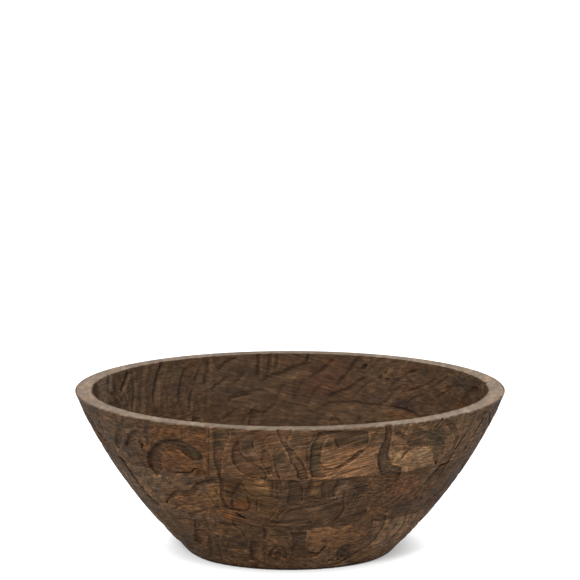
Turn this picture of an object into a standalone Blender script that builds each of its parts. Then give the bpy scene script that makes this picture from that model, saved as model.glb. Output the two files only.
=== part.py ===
"""Carved wooden serving bowl, glued up from boards in three layers.

A flat base layer and two ring layers, each 40 mm thick and edge-glued from boards that run front to
back (along Y), are stacked, turned to one flared wall and carved with gouges inside and out.
Metres, +Z up. The origin is the middle of the flat face that the bowl stands on, front towards -Y.
"""
import math
import random

import bmesh
import bpy
from mathutils import Vector

MM = 0.001

# Driving dimensions
HEIGHT = 120 * MM
LAYER = 40 * MM
BASE_RADIUS = 79 * MM
RIM_RADIUS = 160 * MM
WALL_CURVE = 420 * MM          # radius of the arc that the outer wall follows from base to rim
RIM_WALL = 13.8 * MM           # thickness of the wall across the flat rim
WALL_GAIN = 0.05               # how much thicker the wall gets for each metre below the rim
FLOOR = 15 * MM                # thickness of the floor
EASED_EDGE = 0.8 * MM          # sanded edges of the rim and foot
GLUE_GAP = 0.3 * MM            # clearance kept between neighbouring boards

TURN_STEPS = 72
ROWS = 3                       # facets down each layer's wall
FRONT_STEPS = 2                # sections for each leg of a stroke on the front
MOTIF_STEPS = 1                # and on the rest of the bowl
SEED = 11

# Boards of each layer: where its glue joints stand, measured sideways from the middle of the bowl
RIM_JOINTS = (-59 * MM, 60 * MM)
MIDDLE_JOINTS = (-50 * MM, -8 * MM, 55 * MM)
BASE_JOINTS = (-59 * MM, 12 * MM, 60 * MM)

# Stained mango wood, board by board (sRGB)
WOOD = {
    "rim_left_board": (88, 64, 45),
    "rim_front_board": (96, 71, 52),
    "rim_back_board": (80, 61, 46),
    "rim_right_board": (103, 80, 59),
    "middle_left_board": (92, 70, 52),
    "middle_front_knot_board": (82, 58, 38),
    "middle_back_knot_board": (80, 58, 40),
    "middle_front_board": (76, 58, 43),
    "middle_back_board": (75, 57, 43),
    "middle_right_board": (86, 62, 46),
    "base_left_board": (76, 58, 43),
    "base_knot_board": (78, 57, 40),
    "base_tan_board": (98, 73, 52),
    "base_right_board": (96, 74, 57),
}

# Gouge strokes on the front of the wall. Each is a tool (round gouge or V tool), the width and depth
# of its cut, and the way it runs as (sideways, height), all in millimetres.
FRONT_STROKES = (
    # rim layer, left to right
    ("round", 7.0, 1.6, ((-125, 108), (-124.5, 99), (-124, 90))),
    ("round", 6.5, 1.8, ((-118, 93), (-115.5, 101), (-110.5, 106), (-106, 103), (-104.5, 95))),
    ("round", 5.0, 1.6, ((-102, 122), (-101.8, 110), (-101.5, 99))),
    ("round", 8.0, 2.2, ((-65, 96.5), (-72, 99.5), (-80, 103), (-89, 101.5), (-95.5, 96), (-99, 89), (-98.5, 82),
                         (-96, 75))),
    ("vee", 3.5, 1.4, ((-91, 86), (-88, 80.5), (-83, 78), (-76, 79), (-69, 81.5), (-64, 85.5))),
    ("round", 7.5, 1.9, ((-48, 122), (-50.5, 110), (-51.5, 98), (-50.5, 87), (-49, 79))),
    ("round", 9.0, 1.8, ((-36, 112), (-37.5, 103), (-35, 95), (-29, 88.5), (-21, 84.5))),
    ("vee", 3.0, 1.3, ((-35, 103), (-29, 97), (-21, 92.5), (-17.5, 87), (-16, 80))),
    ("round", 7.0, 1.6, ((-17, 105), (-18.5, 97), (-15.5, 89), (-12, 82))),
    ("round", 8.0, 1.8, ((-12, 98), (-7, 97.5), (-3, 99.5))),
    ("round", 8.0, 1.7, ((-8, 122), (-4, 110), (1, 100), (6, 91.5), (8.5, 83), (9, 75))),
    ("round", 5.0, 1.4, ((1, 108), (3, 113.5), (10, 115.5), (17, 114))),
    ("round", 9.5, 2.0, ((52, 111), (40, 112), (28, 114), (20, 110.5), (17.5, 101), (17.5, 92), (22, 85.5))),
    ("vee", 4.0, 1.6, ((27, 83), (35, 88.5), (43, 95.5), (50, 101))),
    ("round", 8.5, 2.2, ((67, 122), (66, 108), (66, 96), (68.5, 87), (77, 82))),
    ("round", 9.0, 2.0, ((85, 108), (93, 107.5), (101, 104), (105.5, 97), (105, 89), (102, 82))),
    ("vee", 3.5, 1.3, ((124, 108), (117, 94), (108, 81), (98, 68), (89, 57))),
    ("round", 5.0, 1.4, ((136, 114), (129, 102), (121, 89))),
    # middle layer
    ("round", 5.5, 1.8, ((-123, 82), (-115, 71), (-107, 60), (-99, 50), (-94, 45))),
    ("vee", 3.5, 1.4, ((-91, 50), (-84, 57), (-74, 59), (-67, 61.5), (-62, 69), (-53, 74))),
    ("vee", 3.5, 1.8, ((-48.8, 76), (-48.8, 66), (-47, 58), (-43, 54), (-37, 52), (-32, 47.5))),
    ("vee", 3.5, 1.3, ((-36, 75), (-31, 67.5), (-24, 66), (-13, 66))),
    ("round", 6.0, 1.5, ((3, 71), (6, 63), (8, 57))),
    ("vee", 3.5, 1.2, ((-9, 45), (-3, 52), (6, 56), (15, 54.5), (23, 48))),
    ("round", 5.0, 1.5, ((39, 77), (38, 67), (33, 56), (28, 46))),
    ("round", 6.0, 1.4, ((80, 77), (74, 72), (66, 67), (58, 66))),
    ("vee", 3.5, 1.3, ((69, 51), (76, 56.5), (84, 59), (92, 57))),
    # base layer
    ("round", 8.0, 1.8, ((-67, 33), (-66, 26), (-66, 19))),
    ("round", 5.0, 1.5, ((-56, 28), (-55, 18), (-57, 8))),
    ("round", 9.0, 1.8, ((-46, 21), (-39, 20.5), (-32, 20))),
    ("vee", 3.0, 1.3, ((-42, 47), (-40, 40), (-36.5, 35), (-32, 26), (-30, 15))),
    ("round", 4.5, 1.4, ((-23, 31), (-24, 22), (-23.5, 12))),
    ("round", 5.0, 1.4, ((-14, 17), (-9, 22), (-5, 18), (-4, 9))),
    ("round", 10.0, 2.2, ((7, 36), (7, 28), (8, 19))),
    ("vee", 4.0, 1.6, ((1, 19), (3, 13), (9, 10), (16, 11.5), (22, 15), (25, 21))),
    ("vee", 4.5, 2.2, ((66, 42), (65, 33), (61, 25), (56, 18.5), (50, 14.5), (42, 10), (33, 6))),
    ("vee", 4.5, 2.0, ((84, 42), (83, 33), (80, 25), (75, 18), (71, 13))),
    ("round", 5.0, 1.4, ((-97, 35), (-88, 26), (-78, 15))),
)

# The same hand's motifs, used again round the rest of the wall and inside: tool, width, depth and a
# path as (sideways, upwards) from the motif's middle, in millimetres.
MOTIFS = (
    ("round", 8.0, 2.0, ((15, -5), (7, 2), (-3, 6), (-13, 2), (-16, -8), (-12, -17))),
    ("round", 7.0, 1.8, ((0, 17), (-2, 6), (-1, -6), (6, -16))),
    ("vee", 4.5, 1.8, ((14, 16), (12, 4), (3, -8), (-13, -15))),
    ("round", 6.5, 1.6, ((-12, 15), (-5, 5), (2, -6), (11, -15))),
)
BACK_FROM, BACK_TO = 70, 290        # degrees round from the front that the motifs cover outside
BACK_COUNT = (15, 12, 9)            # motifs in the rim, middle and base layers outside
INSIDE_COUNT = (14, 9)              # motifs in the rim and middle layers inside


def clear_scene():
    for obj in list(bpy.data.objects):
        bpy.data.objects.remove(obj, do_unlink=True)


def arc_middle():
    """Centre of the wall's arc, in the plane of the profile."""
    foot = Vector((BASE_RADIUS, 0.0))
    rim = Vector((RIM_RADIUS, HEIGHT))
    chord = rim - foot
    inward = Vector((-chord.y, chord.x)).normalized()
    return (foot + rim) / 2 + inward * math.sqrt(WALL_CURVE ** 2 - (chord.length / 2) ** 2)


def outer_radius(z):
    middle = arc_middle()
    return middle.x + math.sqrt(WALL_CURVE ** 2 - (z - middle.y) ** 2)


def outer_slope(z):
    """How much the outer radius grows for each metre of height."""
    middle = arc_middle()
    return -(z - middle.y) / math.sqrt(WALL_CURVE ** 2 - (z - middle.y) ** 2)


def inner_radius(z):
    return outer_radius(z) - RIM_WALL - WALL_GAIN * (HEIGHT - z)


def inner_slope(z):
    return outer_slope(z) + WALL_GAIN


def bowl_corner():
    """The curve that joins the inner wall to the floor: points from the top of the base layer down."""
    start = inner_radius(LAYER)
    tilt = math.atan2(1.0, inner_slope(LAYER))
    bend = (LAYER - FLOOR) / (1 - math.cos(tilt))
    points = []
    for step in range(ROWS + 2):
        angle = tilt * (1 - step / (ROWS + 1))
        points.append((start - bend * (math.sin(tilt) - math.sin(angle)), FLOOR + bend * (1 - math.cos(angle))))
    return points


def ring_profile(bottom, top):
    """Closed section of a ring layer, down its outer side and back up its inner side."""
    heights = [top + (bottom - top) * step / ROWS for step in range(ROWS + 1)]
    outer = [(outer_radius(z), z) for z in heights]
    inner = [(inner_radius(z), z) for z in reversed(heights)]
    if top == HEIGHT:
        outer[0] = (outer_radius(top) - EASED_EDGE, top)
        outer.insert(1, (outer_radius(top - EASED_EDGE), top - EASED_EDGE))
        inner[-1] = (inner_radius(top) + EASED_EDGE, top)
        inner.insert(-1, (inner_radius(top - EASED_EDGE), top - EASED_EDGE))
    return outer + inner


def base_profile(top):
    """Section of the base layer from the cavity's rim out, down the wall and in under the foot."""
    heights = [top + (EASED_EDGE - top) * step / ROWS for step in range(ROWS + 1)]
    outer = [(outer_radius(z), z) for z in heights]
    foot = [(BASE_RADIUS - EASED_EDGE, 0.0), (0.0, 0.0)]
    corner = bowl_corner()
    corner[0] = (inner_radius(top), top)
    return outer + foot + [(0.0, FLOOR)] + corner[::-1]


def turned_mesh(name, profile):
    """Turn a closed section about the bowl's axis."""
    bm = bmesh.new()
    rings = []
    for radius, z in profile:
        if radius == 0.0:
            rings.append([bm.verts.new((0.0, 0.0, z))])
            continue
        ring = []
        for step in range(TURN_STEPS):
            angle = math.tau * step / TURN_STEPS
            ring.append(bm.verts.new((radius * math.cos(angle), radius * math.sin(angle), z)))
        rings.append(ring)
    for upper, lower in zip(rings, rings[1:] + rings[:1]):
        for step in range(TURN_STEPS):
            after = (step + 1) % TURN_STEPS
            if len(upper) == 1 and len(lower) == 1:
                break
            if len(upper) == 1:
                bm.faces.new((upper[0], lower[step], lower[after]))
            elif len(lower) == 1:
                bm.faces.new((upper[step], lower[0], upper[after]))
            else:
                bm.faces.new((upper[step], lower[step], lower[after], upper[after]))
    bmesh.ops.recalc_face_normals(bm, faces=bm.faces)
    mesh = bpy.data.meshes.new(name)
    bm.to_mesh(mesh)
    bm.free()
    return mesh


def box_mesh(name, low, high):
    bm = bmesh.new()
    bmesh.ops.create_cube(bm, size=1.0)
    for vert in bm.verts:
        for axis in range(3):
            vert.co[axis] = low[axis] if vert.co[axis] < 0 else high[axis]
    mesh = bpy.data.meshes.new(name)
    bm.to_mesh(mesh)
    bm.free()
    return mesh


def add_helper(name, mesh, collection):
    """A cutter: part of how a board is shaped, not a piece of the bowl."""
    helper = bpy.data.objects.new(name, mesh)
    helper.hide_render = True
    helper.display_type = "WIRE"
    collection.objects.link(helper)
    return helper


def smooth_path(points, steps):
    """Points along the smooth curve through a stroke's corners."""
    ends = [points[0]] + list(points) + [points[-1]]
    path = []
    for before, start, end, after in zip(ends, ends[1:], ends[2:], ends[3:]):
        for step in range(steps):
            t = step / steps
            path.append(tuple(
                0.5 * (2 * b + (c - a) * t + (2 * a - 5 * b + 4 * c - d) * t * t + (3 * b - a - 3 * c + d) * t ** 3)
                for a, b, c, d in zip(before, start, end, after)))
    path.append(tuple(points[-1]))
    return path


def wall_frame(angle, z, inside):
    """Point on the wall and the direction that faces out of the wood there."""
    around = Vector((math.sin(angle), -math.cos(angle), 0.0))
    radius = inner_radius(z) if inside else outer_radius(z)
    slope = inner_slope(z) if inside else outer_slope(z)
    out = (around - Vector((0.0, 0.0, slope))).normalized()
    if inside:
        out = -out
    return around * radius + Vector((0.0, 0.0, z)), out


def stroke_section(tool, width, depth):
    """Half-widths and heights of the cut, from one shoulder to the other."""
    lift = 1.2 * MM
    if tool == "vee":
        shoulder = 0.5 * width * (depth + lift) / depth
        return ((-shoulder, lift), (0.0, -depth), (shoulder, lift))
    shoulder = 0.5 * width + 0.2 * width * lift / (0.75 * depth)
    return ((-shoulder, lift), (-0.3 * width, -0.75 * depth), (0.0, -depth), (0.3 * width, -0.75 * depth),
            (shoulder, lift))


def stroke_mesh(name, tool, width, depth, path, inside):
    """The wood that one gouge stroke removes, as a closed sweep that lifts out at both ends.

    The path holds (angle round the bowl, height) pairs.
    """
    frames = [wall_frame(angle, z, inside) for angle, z in path]
    bm = bmesh.new()
    rings = []
    for index, (place, out) in enumerate(frames):
        before = frames[max(index - 1, 0)][0]
        after = frames[min(index + 1, len(frames) - 1)][0]
        ahead = (after - before).normalized()
        side = ahead.cross(out).normalized()
        at_end = index in (0, len(frames) - 1)
        scale = 0.45 if at_end else 1.0
        section = stroke_section(tool, width * MM, depth * MM)
        rings.append([bm.verts.new(place + side * across * scale + out * (up if up > 0 else up * scale))
                      for across, up in section])
    count = len(rings[0])
    for first, second in zip(rings, rings[1:]):
        for step in range(count):
            after = (step + 1) % count
            bm.faces.new((first[step], first[after], second[after], second[step]))
    bm.faces.new(rings[0])
    bm.faces.new(list(reversed(rings[-1])))
    bmesh.ops.triangulate(bm, faces=bm.faces)
    bmesh.ops.recalc_face_normals(bm, faces=bm.faces)
    mesh = bpy.data.meshes.new(name)
    bm.to_mesh(mesh)
    bm.free()
    return mesh


def front_path(points):
    """Stroke corners given across the front, turned into angles round the bowl."""
    path = []
    for sideways, height in smooth_path(points, FRONT_STEPS):
        z = height * MM
        path.append((math.asin(sideways * MM / outer_radius(z)), z))
    return path


def motif_path(points, angle, z, lean, flip, inside):
    """A motif's corners, leaned and placed round the bowl."""
    radius = inner_radius(z) if inside else outer_radius(z)
    path = []
    for sideways, upwards in smooth_path(points, MOTIF_STEPS):
        across = flip * (sideways * math.cos(lean) - upwards * math.sin(lean))
        rise = sideways * math.sin(lean) + upwards * math.cos(lean)
        path.append((angle + across * MM / radius, z + rise * MM))
    return path


def carve_strokes():
    """Every stroke's cutter mesh, with its lowest and highest point."""
    meshes = []
    for number, (tool, width, depth, points) in enumerate(FRONT_STROKES):
        meshes.append(stroke_mesh(f"front_cut_{number}", tool, width, depth, front_path(points), False))
    rng = random.Random(SEED)
    for layer, count in enumerate(BACK_COUNT):
        middle = HEIGHT - LAYER * (layer + 0.5)
        for number in range(count):
            turn = BACK_FROM + (BACK_TO - BACK_FROM) * (number + 0.5 + rng.uniform(-0.12, 0.12)) / count
            tool, width, depth, points = MOTIFS[(number + 2 * layer) % len(MOTIFS)]
            path = motif_path(points, math.radians(turn), middle + rng.uniform(-1.0, 1.0) * MM,
                              rng.uniform(-0.2, 0.2), rng.choice((-1, 1)), False)
            meshes.append(stroke_mesh(f"back_cut_{layer}_{number}", tool, width, depth, path, False))
    for layer, count in enumerate(INSIDE_COUNT):
        middle = HEIGHT - LAYER * (layer + 0.5)
        for number in range(count):
            turn = 360 * (number + 0.5 + rng.uniform(-0.12, 0.12)) / count
            tool, width, depth, points = MOTIFS[1 + (number + layer) % (len(MOTIFS) - 1)]
            path = motif_path(points, math.radians(turn), middle, rng.uniform(0.0, 0.4), 1, True)
            meshes.append(stroke_mesh(f"inside_cut_{layer}_{number}", tool, width, depth, path, True))
    return meshes


def mesh_bounds(mesh):
    low = [min(v.co[axis] for v in mesh.vertices) for axis in range(3)]
    high = [max(v.co[axis] for v in mesh.vertices) for axis in range(3)]
    return low, high


def near(box_a, box_b):
    return all(box_a[0][axis] < box_b[1][axis] and box_b[0][axis] < box_a[1][axis] for axis in range(3))


def wood_material(name, colour):
    material = bpy.data.materials.new(name)
    material.use_nodes = True
    shader = material.node_tree.nodes["Principled BSDF"]
    linear = [(channel / 255 / 12.92) if channel < 11 else ((channel / 255 + 0.055) / 1.055) ** 2.4
              for channel in colour]
    shader.inputs["Base Color"].default_value = (*linear, 1.0)
    shader.inputs["Roughness"].default_value = 0.62
    shader.inputs["Metallic"].default_value = 0.0
    material.diffuse_color = (*linear, 1.0)
    return material


def board_boxes(names, joints, layer_bottom, layer_top, split):
    """Each board's name and the box it is sawn to. A split board is two pieces, front and back."""
    far = RIM_RADIUS * 1.2
    edges = [-far] + list(joints) + [far]
    half = GLUE_GAP / 2
    boxes = []
    for index, board in enumerate(names):
        left = edges[index] + half
        right = edges[index + 1] - half
        low_z = layer_bottom - 0.01
        high_z = layer_top + 0.01
        if isinstance(board, tuple):
            boxes.append((board[0], (left, -far, low_z), (right, -split, high_z)))
            boxes.append((board[1], (left, split, low_z), (right, far, high_z)))
        else:
            boxes.append((board, (left, -far, low_z), (right, far, high_z)))
    return boxes


def build_layer(blank, level, boxes, cuts, parent, helpers):
    """Saw a turned layer into its boards and carve them."""
    for vert in blank.vertices:
        vert.co.z -= level
    for name, low, high in boxes:
        board = bpy.data.objects.new(name, blank.copy())
        board.data.name = name
        bpy.context.scene.collection.objects.link(board)
        board.parent = parent
        board.location = (0.0, 0.0, level)
        board.data.materials.append(wood_material(name + "_wood", WOOD[name]))
        board.data.shade_smooth()
        board.data.set_sharp_from_angle(angle=math.radians(35))

        saw = board.modifiers.new("sawn_to_width", "BOOLEAN")
        saw.operation = "INTERSECT"
        saw.solver = "EXACT"
        saw.object = add_helper(name + "_saw", box_mesh(name + "_saw", low, high), helpers)

        reach = ((low[0], low[1], level), (high[0], high[1], level + LAYER))
        for cutter, box in cuts:
            if near(box, reach):
                carve = board.modifiers.new(cutter.name, "BOOLEAN")
                carve.operation = "DIFFERENCE"
                carve.solver = "EXACT"
                carve.use_self = True
                carve.object = cutter


clear_scene()
bowl = bpy.data.objects.new("bowl", None)
bpy.context.scene.collection.objects.link(bowl)
cutters = bpy.data.collections.new("cutters")
cutters.hide_render = True
bpy.context.scene.collection.children.link(cutters)

cuts = []
for cut_mesh in carve_strokes():
    cuts.append((add_helper(cut_mesh.name, cut_mesh, cutters), mesh_bounds(cut_mesh)))

half_gap = GLUE_GAP / 2
base_top = LAYER - half_gap
middle_bottom, middle_top = LAYER + half_gap, 2 * LAYER - half_gap
rim_bottom = 2 * LAYER + half_gap
split_at = 0.03                 # the hollow is wider than this, so it parts a centre board in two

build_layer(
    turned_mesh("rim_layer", ring_profile(rim_bottom, HEIGHT)), 2 * LAYER,
    board_boxes(("rim_left_board", ("rim_front_board", "rim_back_board"), "rim_right_board"),
                RIM_JOINTS, 2 * LAYER, HEIGHT, split_at),
    cuts, bowl, cutters)
build_layer(
    turned_mesh("middle_layer", ring_profile(middle_bottom, middle_top)), LAYER,
    board_boxes(("middle_left_board", ("middle_front_knot_board", "middle_back_knot_board"),
                 ("middle_front_board", "middle_back_board"), "middle_right_board"),
                MIDDLE_JOINTS, LAYER, 2 * LAYER, split_at),
    cuts, bowl, cutters)
build_layer(
    turned_mesh("base_layer", base_profile(base_top)), 0.0,
    board_boxes(("base_left_board", "base_knot_board", "base_tan_board", "base_right_board"),
                BASE_JOINTS, 0.0, LAYER, split_at),
    cuts, bowl, cutters)
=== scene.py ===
"""Looks of the carved wooden bowl: every board is rebuilt with its carved surface in fine relief.

Lengths in the carving tables are millimetres on the bowl, and become metres where meshes are made.
"""

import math
from collections import namedtuple

import bmesh
import bpy
import numpy as np
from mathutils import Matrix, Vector


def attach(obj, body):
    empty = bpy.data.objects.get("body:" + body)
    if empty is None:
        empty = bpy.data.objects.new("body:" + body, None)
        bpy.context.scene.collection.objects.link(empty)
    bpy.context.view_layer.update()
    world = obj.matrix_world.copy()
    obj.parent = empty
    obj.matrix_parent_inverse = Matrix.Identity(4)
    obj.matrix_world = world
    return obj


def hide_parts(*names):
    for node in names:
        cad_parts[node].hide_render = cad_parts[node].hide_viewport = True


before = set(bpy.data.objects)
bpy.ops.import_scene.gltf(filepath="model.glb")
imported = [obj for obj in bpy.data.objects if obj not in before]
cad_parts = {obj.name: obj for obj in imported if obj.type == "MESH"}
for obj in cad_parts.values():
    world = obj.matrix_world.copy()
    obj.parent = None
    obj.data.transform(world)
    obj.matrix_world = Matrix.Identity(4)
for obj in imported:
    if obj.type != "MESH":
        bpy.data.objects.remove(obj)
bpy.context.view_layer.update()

MM = 0.001
DETAIL = 1.0

# ---------------------------------------------------------------- the turned shape, as in the CAD
HEIGHT = 120.0
LAYER = 40.0
BASE_RADIUS = 79.0
RIM_RADIUS = 160.0
WALL_CURVE = 420.0
RIM_WALL = 13.8
WALL_GAIN = 0.05
FLOOR = 15.0
EASED_EDGE = 0.8
SHY = 0.03                      # the carved pieces stay this far inside the turned surface
WIDEST = 159.6                  # the bowl nowhere reaches further out than this
GLUE_GAP = 0.03                 # seen width of the glue joints between boards
LAYER_GAP = 0.02                # half the seen width of the glue joints between layers
CUT_MARGIN = 3.0                # wood kept past a joint until the board is sawn
HOLLOW_SIDE = 3.4               # how far in from its outline a hollow reaches its full depth
HOLLOW_DEPTH = 1.25             # factors on the widths and depths in the carving tables
FRONT_DEPTH = 1.2
VEE_WIDTH, VEE_DEPTH = 1.3, 0.85
INSIDE_WIDTH, INSIDE_DEPTH = 1.2, 1.7
FLANK_DEPTH = 1.35
SCOOP_DEPTH = 0.6
OUTSIDE_SCOOPS, INSIDE_SCOOPS = 1700, 700

_chord = np.array([RIM_RADIUS - BASE_RADIUS, HEIGHT])
_half = np.linalg.norm(_chord) / 2
_inward = np.array([-_chord[1], _chord[0]]) / (2 * _half)
_middle = np.array([(BASE_RADIUS + RIM_RADIUS) / 2, HEIGHT / 2])
ARC_R, ARC_Z = _middle + _inward * math.sqrt(WALL_CURVE**2 - _half**2)


def outer_radius(z):
    return ARC_R + np.sqrt(WALL_CURVE**2 - (z - ARC_Z) ** 2)


def outer_slope(z):
    return -(z - ARC_Z) / np.sqrt(WALL_CURVE**2 - (z - ARC_Z) ** 2)


def inner_radius(z):
    return outer_radius(z) - RIM_WALL - WALL_GAIN * (HEIGHT - z)


def slant(z):
    """Length along the outer wall from the foot to height z."""
    return WALL_CURVE * (np.arcsin((z - ARC_Z) / WALL_CURVE) - math.asin(-ARC_Z / WALL_CURVE))


# ---------------------------------------------------------------- the carving
# Hollows on the front are cut back to an even floor: depth, and the outline as (sideways, height)
FRONT_HOLLOWS = (
    # rim layer, left to right
    (1.1, ((-121.8, 108.5), (-124.7, 105.6), (-126.2, 98.4), (-125.8, 91.2), (-124, 88.6), (-121.8, 89.5),
        (-120.7, 93.8), (-119.6, 100.4), (-119.5, 106.5))),
    (1.4, ((-118.1, 93.8), (-118.5, 98.4), (-117.4, 101.7), (-115.5, 105.6), (-113.3, 108.2),
        (-110.4, 110.2), (-107.5, 109.2), (-104.9, 106.9), (-103.9, 103.5), (-104.2, 98), (-105.4, 93.8),
        (-107.3, 98.4), (-109, 101), (-111.1, 100.4), (-113.3, 98.4), (-115.5, 95.8), (-117, 92.6))),
    (0.7, ((-103.9, 123), (-104, 113), (-102.8, 105), (-102, 99.5), (-100.4, 98.5), (-99.2, 105),
        (-98.8, 113), (-98.8, 123))),
    (1.8, ((-61.3, 96.8), (-64.5, 100.3), (-68.5, 103.4), (-73, 106.3), (-78, 107.6), (-84, 107.4),
        (-89.5, 105.8), (-94.5, 102.6), (-98.5, 98.3), (-101.5, 93), (-103, 88), (-102.6, 83.5), (-101, 80),
        (-98.5, 76.5), (-95.5, 73), (-93.5, 75.5), (-91.2, 79.5), (-90.8, 84), (-91, 90.5), (-89.5, 95.5),
        (-86.8, 98.8), (-83, 100), (-79.3, 99.2), (-76, 96.7), (-72.8, 93.8), (-69, 91.8), (-65.5, 91.6),
        (-62.2, 93.4))),
    (1.2, ((-53.8, 123), (-54.2, 112), (-54.2, 104), (-54.4, 95), (-53, 89), (-51.6, 82.7), (-50.8, 77),
        (-48.2, 77), (-47.9, 87.3), (-47.2, 93.8), (-46.1, 101.7), (-44.2, 107), (-42.8, 111.5),
        (-42.4, 123))),
    (1.5, ((-38, 110), (-40.6, 106.2), (-41.7, 101), (-41.3, 95.1), (-38.7, 89.9), (-35.1, 85.3),
        (-30.7, 82.3), (-26, 80.2), (-16.4, 80.2), (-16.9, 86), (-19, 89.9), (-22, 91.8), (-27, 94.5),
        (-30.7, 97.7), (-34.3, 101.7), (-34.8, 107), (-35.4, 110))),
    (1.1, ((-19.7, 104.3), (-20.3, 100.4), (-21.1, 95.8), (-20, 91.2), (-17.5, 87.5), (-15.3, 83),
        (-12.4, 85.5), (-11.2, 90), (-12.2, 93.5), (-13.5, 99.7), (-15, 102.6), (-17.2, 104.8))),
    (0.7, ((-13.1, 99.5), (-8.7, 100), (-4.3, 102.2), (-1.9, 100.4), (-1.5, 97), (-2.8, 93.8), (-5.7, 92.2),
        (-9.4, 91.8), (-11.4, 93.4))),
    (1.5, ((-9.8, 123), (-9.2, 116), (-7.9, 112.1), (-5.7, 107.6), (-2.8, 103), (-1.1, 98.4), (0, 93.8),
        (2.3, 90.5), (4.5, 86.6), (5.2, 80.5), (12.8, 80.3), (11.8, 87.3), (10.7, 91.2), (8.9, 95.1),
        (6, 99), (3.8, 103.6), (0.1, 106.9), (-1, 110.2), (-0.6, 114.1), (1.6, 118), (2, 123))),
    (1.3, ((19.9, 118.2), (17.7, 113.5), (15.5, 109.5), (14, 104.9), (13.8, 98.4), (13.4, 92.5),
        (13.6, 87.3), (15.5, 82), (20, 80.8), (26, 81.2), (30, 84.5), (33, 88.2), (30.2, 88.8),
        (26.5, 89.4), (23.4, 91.4), (22.1, 95.1), (22.1, 101), (23.2, 106.9), (25, 111.3), (27.2, 113.2),
        (30.2, 112.1), (31.6, 108), (33, 104.6), (38, 104), (45, 105), (51, 106.3), (55.2, 107.5),
        (55.8, 113), (54, 116.8), (44, 118), (30, 118.8))),
    (1.6, ((66.4, 123), (66.9, 113.5), (65.5, 107.6), (63.3, 102.3), (62.2, 97.7), (61.5, 92.5),
        (61.8, 87.3), (63.3, 83.3), (65.5, 78.5), (72, 76.5), (78.7, 76.8), (80, 80.7), (79.4, 84.6),
        (77.2, 85.9), (73.5, 87.9), (71.3, 91.2), (70.2, 95.1), (70.6, 100.4), (71.3, 105.6), (72.1, 111.5),
        (72.4, 123))),
    (1.2, ((82.5, 103), (84, 108), (89, 111.8), (97, 111.8), (103, 109), (108, 104.9), (110.9, 98.4),
        (111.6, 93.8), (110.2, 89.2), (107, 84), (104.3, 80.8), (102.8, 83.3), (102.1, 87.3), (101.4, 91.8),
        (99.9, 95.1), (96.2, 98.6), (88.2, 98.8))),
    # middle layer
    (1.2, ((-88.5, 49.5), (-85.5, 55), (-81, 58.5), (-77, 60), (-71, 60.6), (-66.8, 62.5), (-64.2, 67),
        (-60, 71.6), (-54, 73.4), (-50.2, 73.6), (-51, 76.5), (-58, 77), (-66, 74.5), (-70, 69),
        (-74, 65.8), (-81, 64.5), (-86, 60), (-90, 53))),
    (1.1, ((-1.2, 79.4), (-1.4, 70), (-3.2, 63), (-1.8, 58.8), (2.5, 57.3), (6, 58.2), (8.8, 63), (9.2, 70),
        (8, 76), (5.5, 79.4))),
    (0.9, ((-0.5, 55.6), (-5, 51), (-8, 46), (-10.8, 42), (14.5, 42), (13.6, 48), (13.4, 54.2), (6, 56.4))),
    (1.3, ((33.8, 79.4), (31.4, 75.5), (29.4, 69.5), (29.6, 64.8), (32.4, 63.8), (34.6, 67), (37.6, 70.5),
        (40.4, 74), (42, 79.4))),
    (0.9, ((44.6, 73.6), (46, 69.4), (49.6, 66.6), (53.8, 68), (56.2, 73), (52, 74), (48.4, 74.4))),
    (0.35, ((72, 52.6), (76, 56), (80.5, 58.4), (86, 56.4), (91, 52), (96, 47.2), (99, 42), (76, 41.6),
        (72.5, 46))),
    # base layer
    (1.5, ((-66, 32.2), (-69.5, 31), (-71, 26), (-71.3, 21.8), (-71, 18), (-68.5, 16.2), (-65.7, 16.5),
        (-63.8, 18.5), (-62.6, 20.8), (-61.5, 23.7), (-59.8, 26.5), (-59.3, 30.5), (-61.5, 32))),
    (1.1, ((-46, 25), (-41, 25.2), (-36, 24.6), (-31.2, 23.6), (-30.6, 20), (-31.4, 16.6), (-36, 16.2),
        (-41, 15.7), (-45.4, 16.8), (-46.5, 21))),
    (1.2, ((-29.6, 24.5), (-29.8, 16), (-29.2, 8), (-25, 7.2), (-22.2, 10), (-21.6, 18), (-22.6, 25.5),
        (-26, 27.6))),
    (1.5, ((0.5, 36.5), (1, 31), (1.3, 24), (0.7, 19.4), (0.2, 16), (1.3, 12.8), (3.7, 11), (7, 10),
        (13, 9.7), (18.3, 11), (21.7, 12.8), (24.3, 16.2), (26.3, 19.4), (27.8, 22.2), (25, 21.5),
        (22.6, 19), (21, 16.6), (18.3, 16.4), (15.9, 17), (13.7, 19.4), (11.7, 24), (11.8, 30),
        (12, 36.5))),
    (0.6, ((-2.4, 39.6), (-1.6, 35), (12.6, 35), (14, 39.4))),
    (1.4, ((35, 18), (38, 20.6), (41.5, 21.6), (44.6, 20.4), (45.2, 18.5), (43.3, 16), (41.4, 12.8),
        (39.5, 8.8), (36, 6.4), (34, 6.4), (34.2, 9), (34, 14))),
    (1.0, ((28, 20), (27.6, 13), (27.4, 6.6), (30, 5.6), (33, 6.4), (33.2, 13), (33.4, 19.4))),
)

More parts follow.
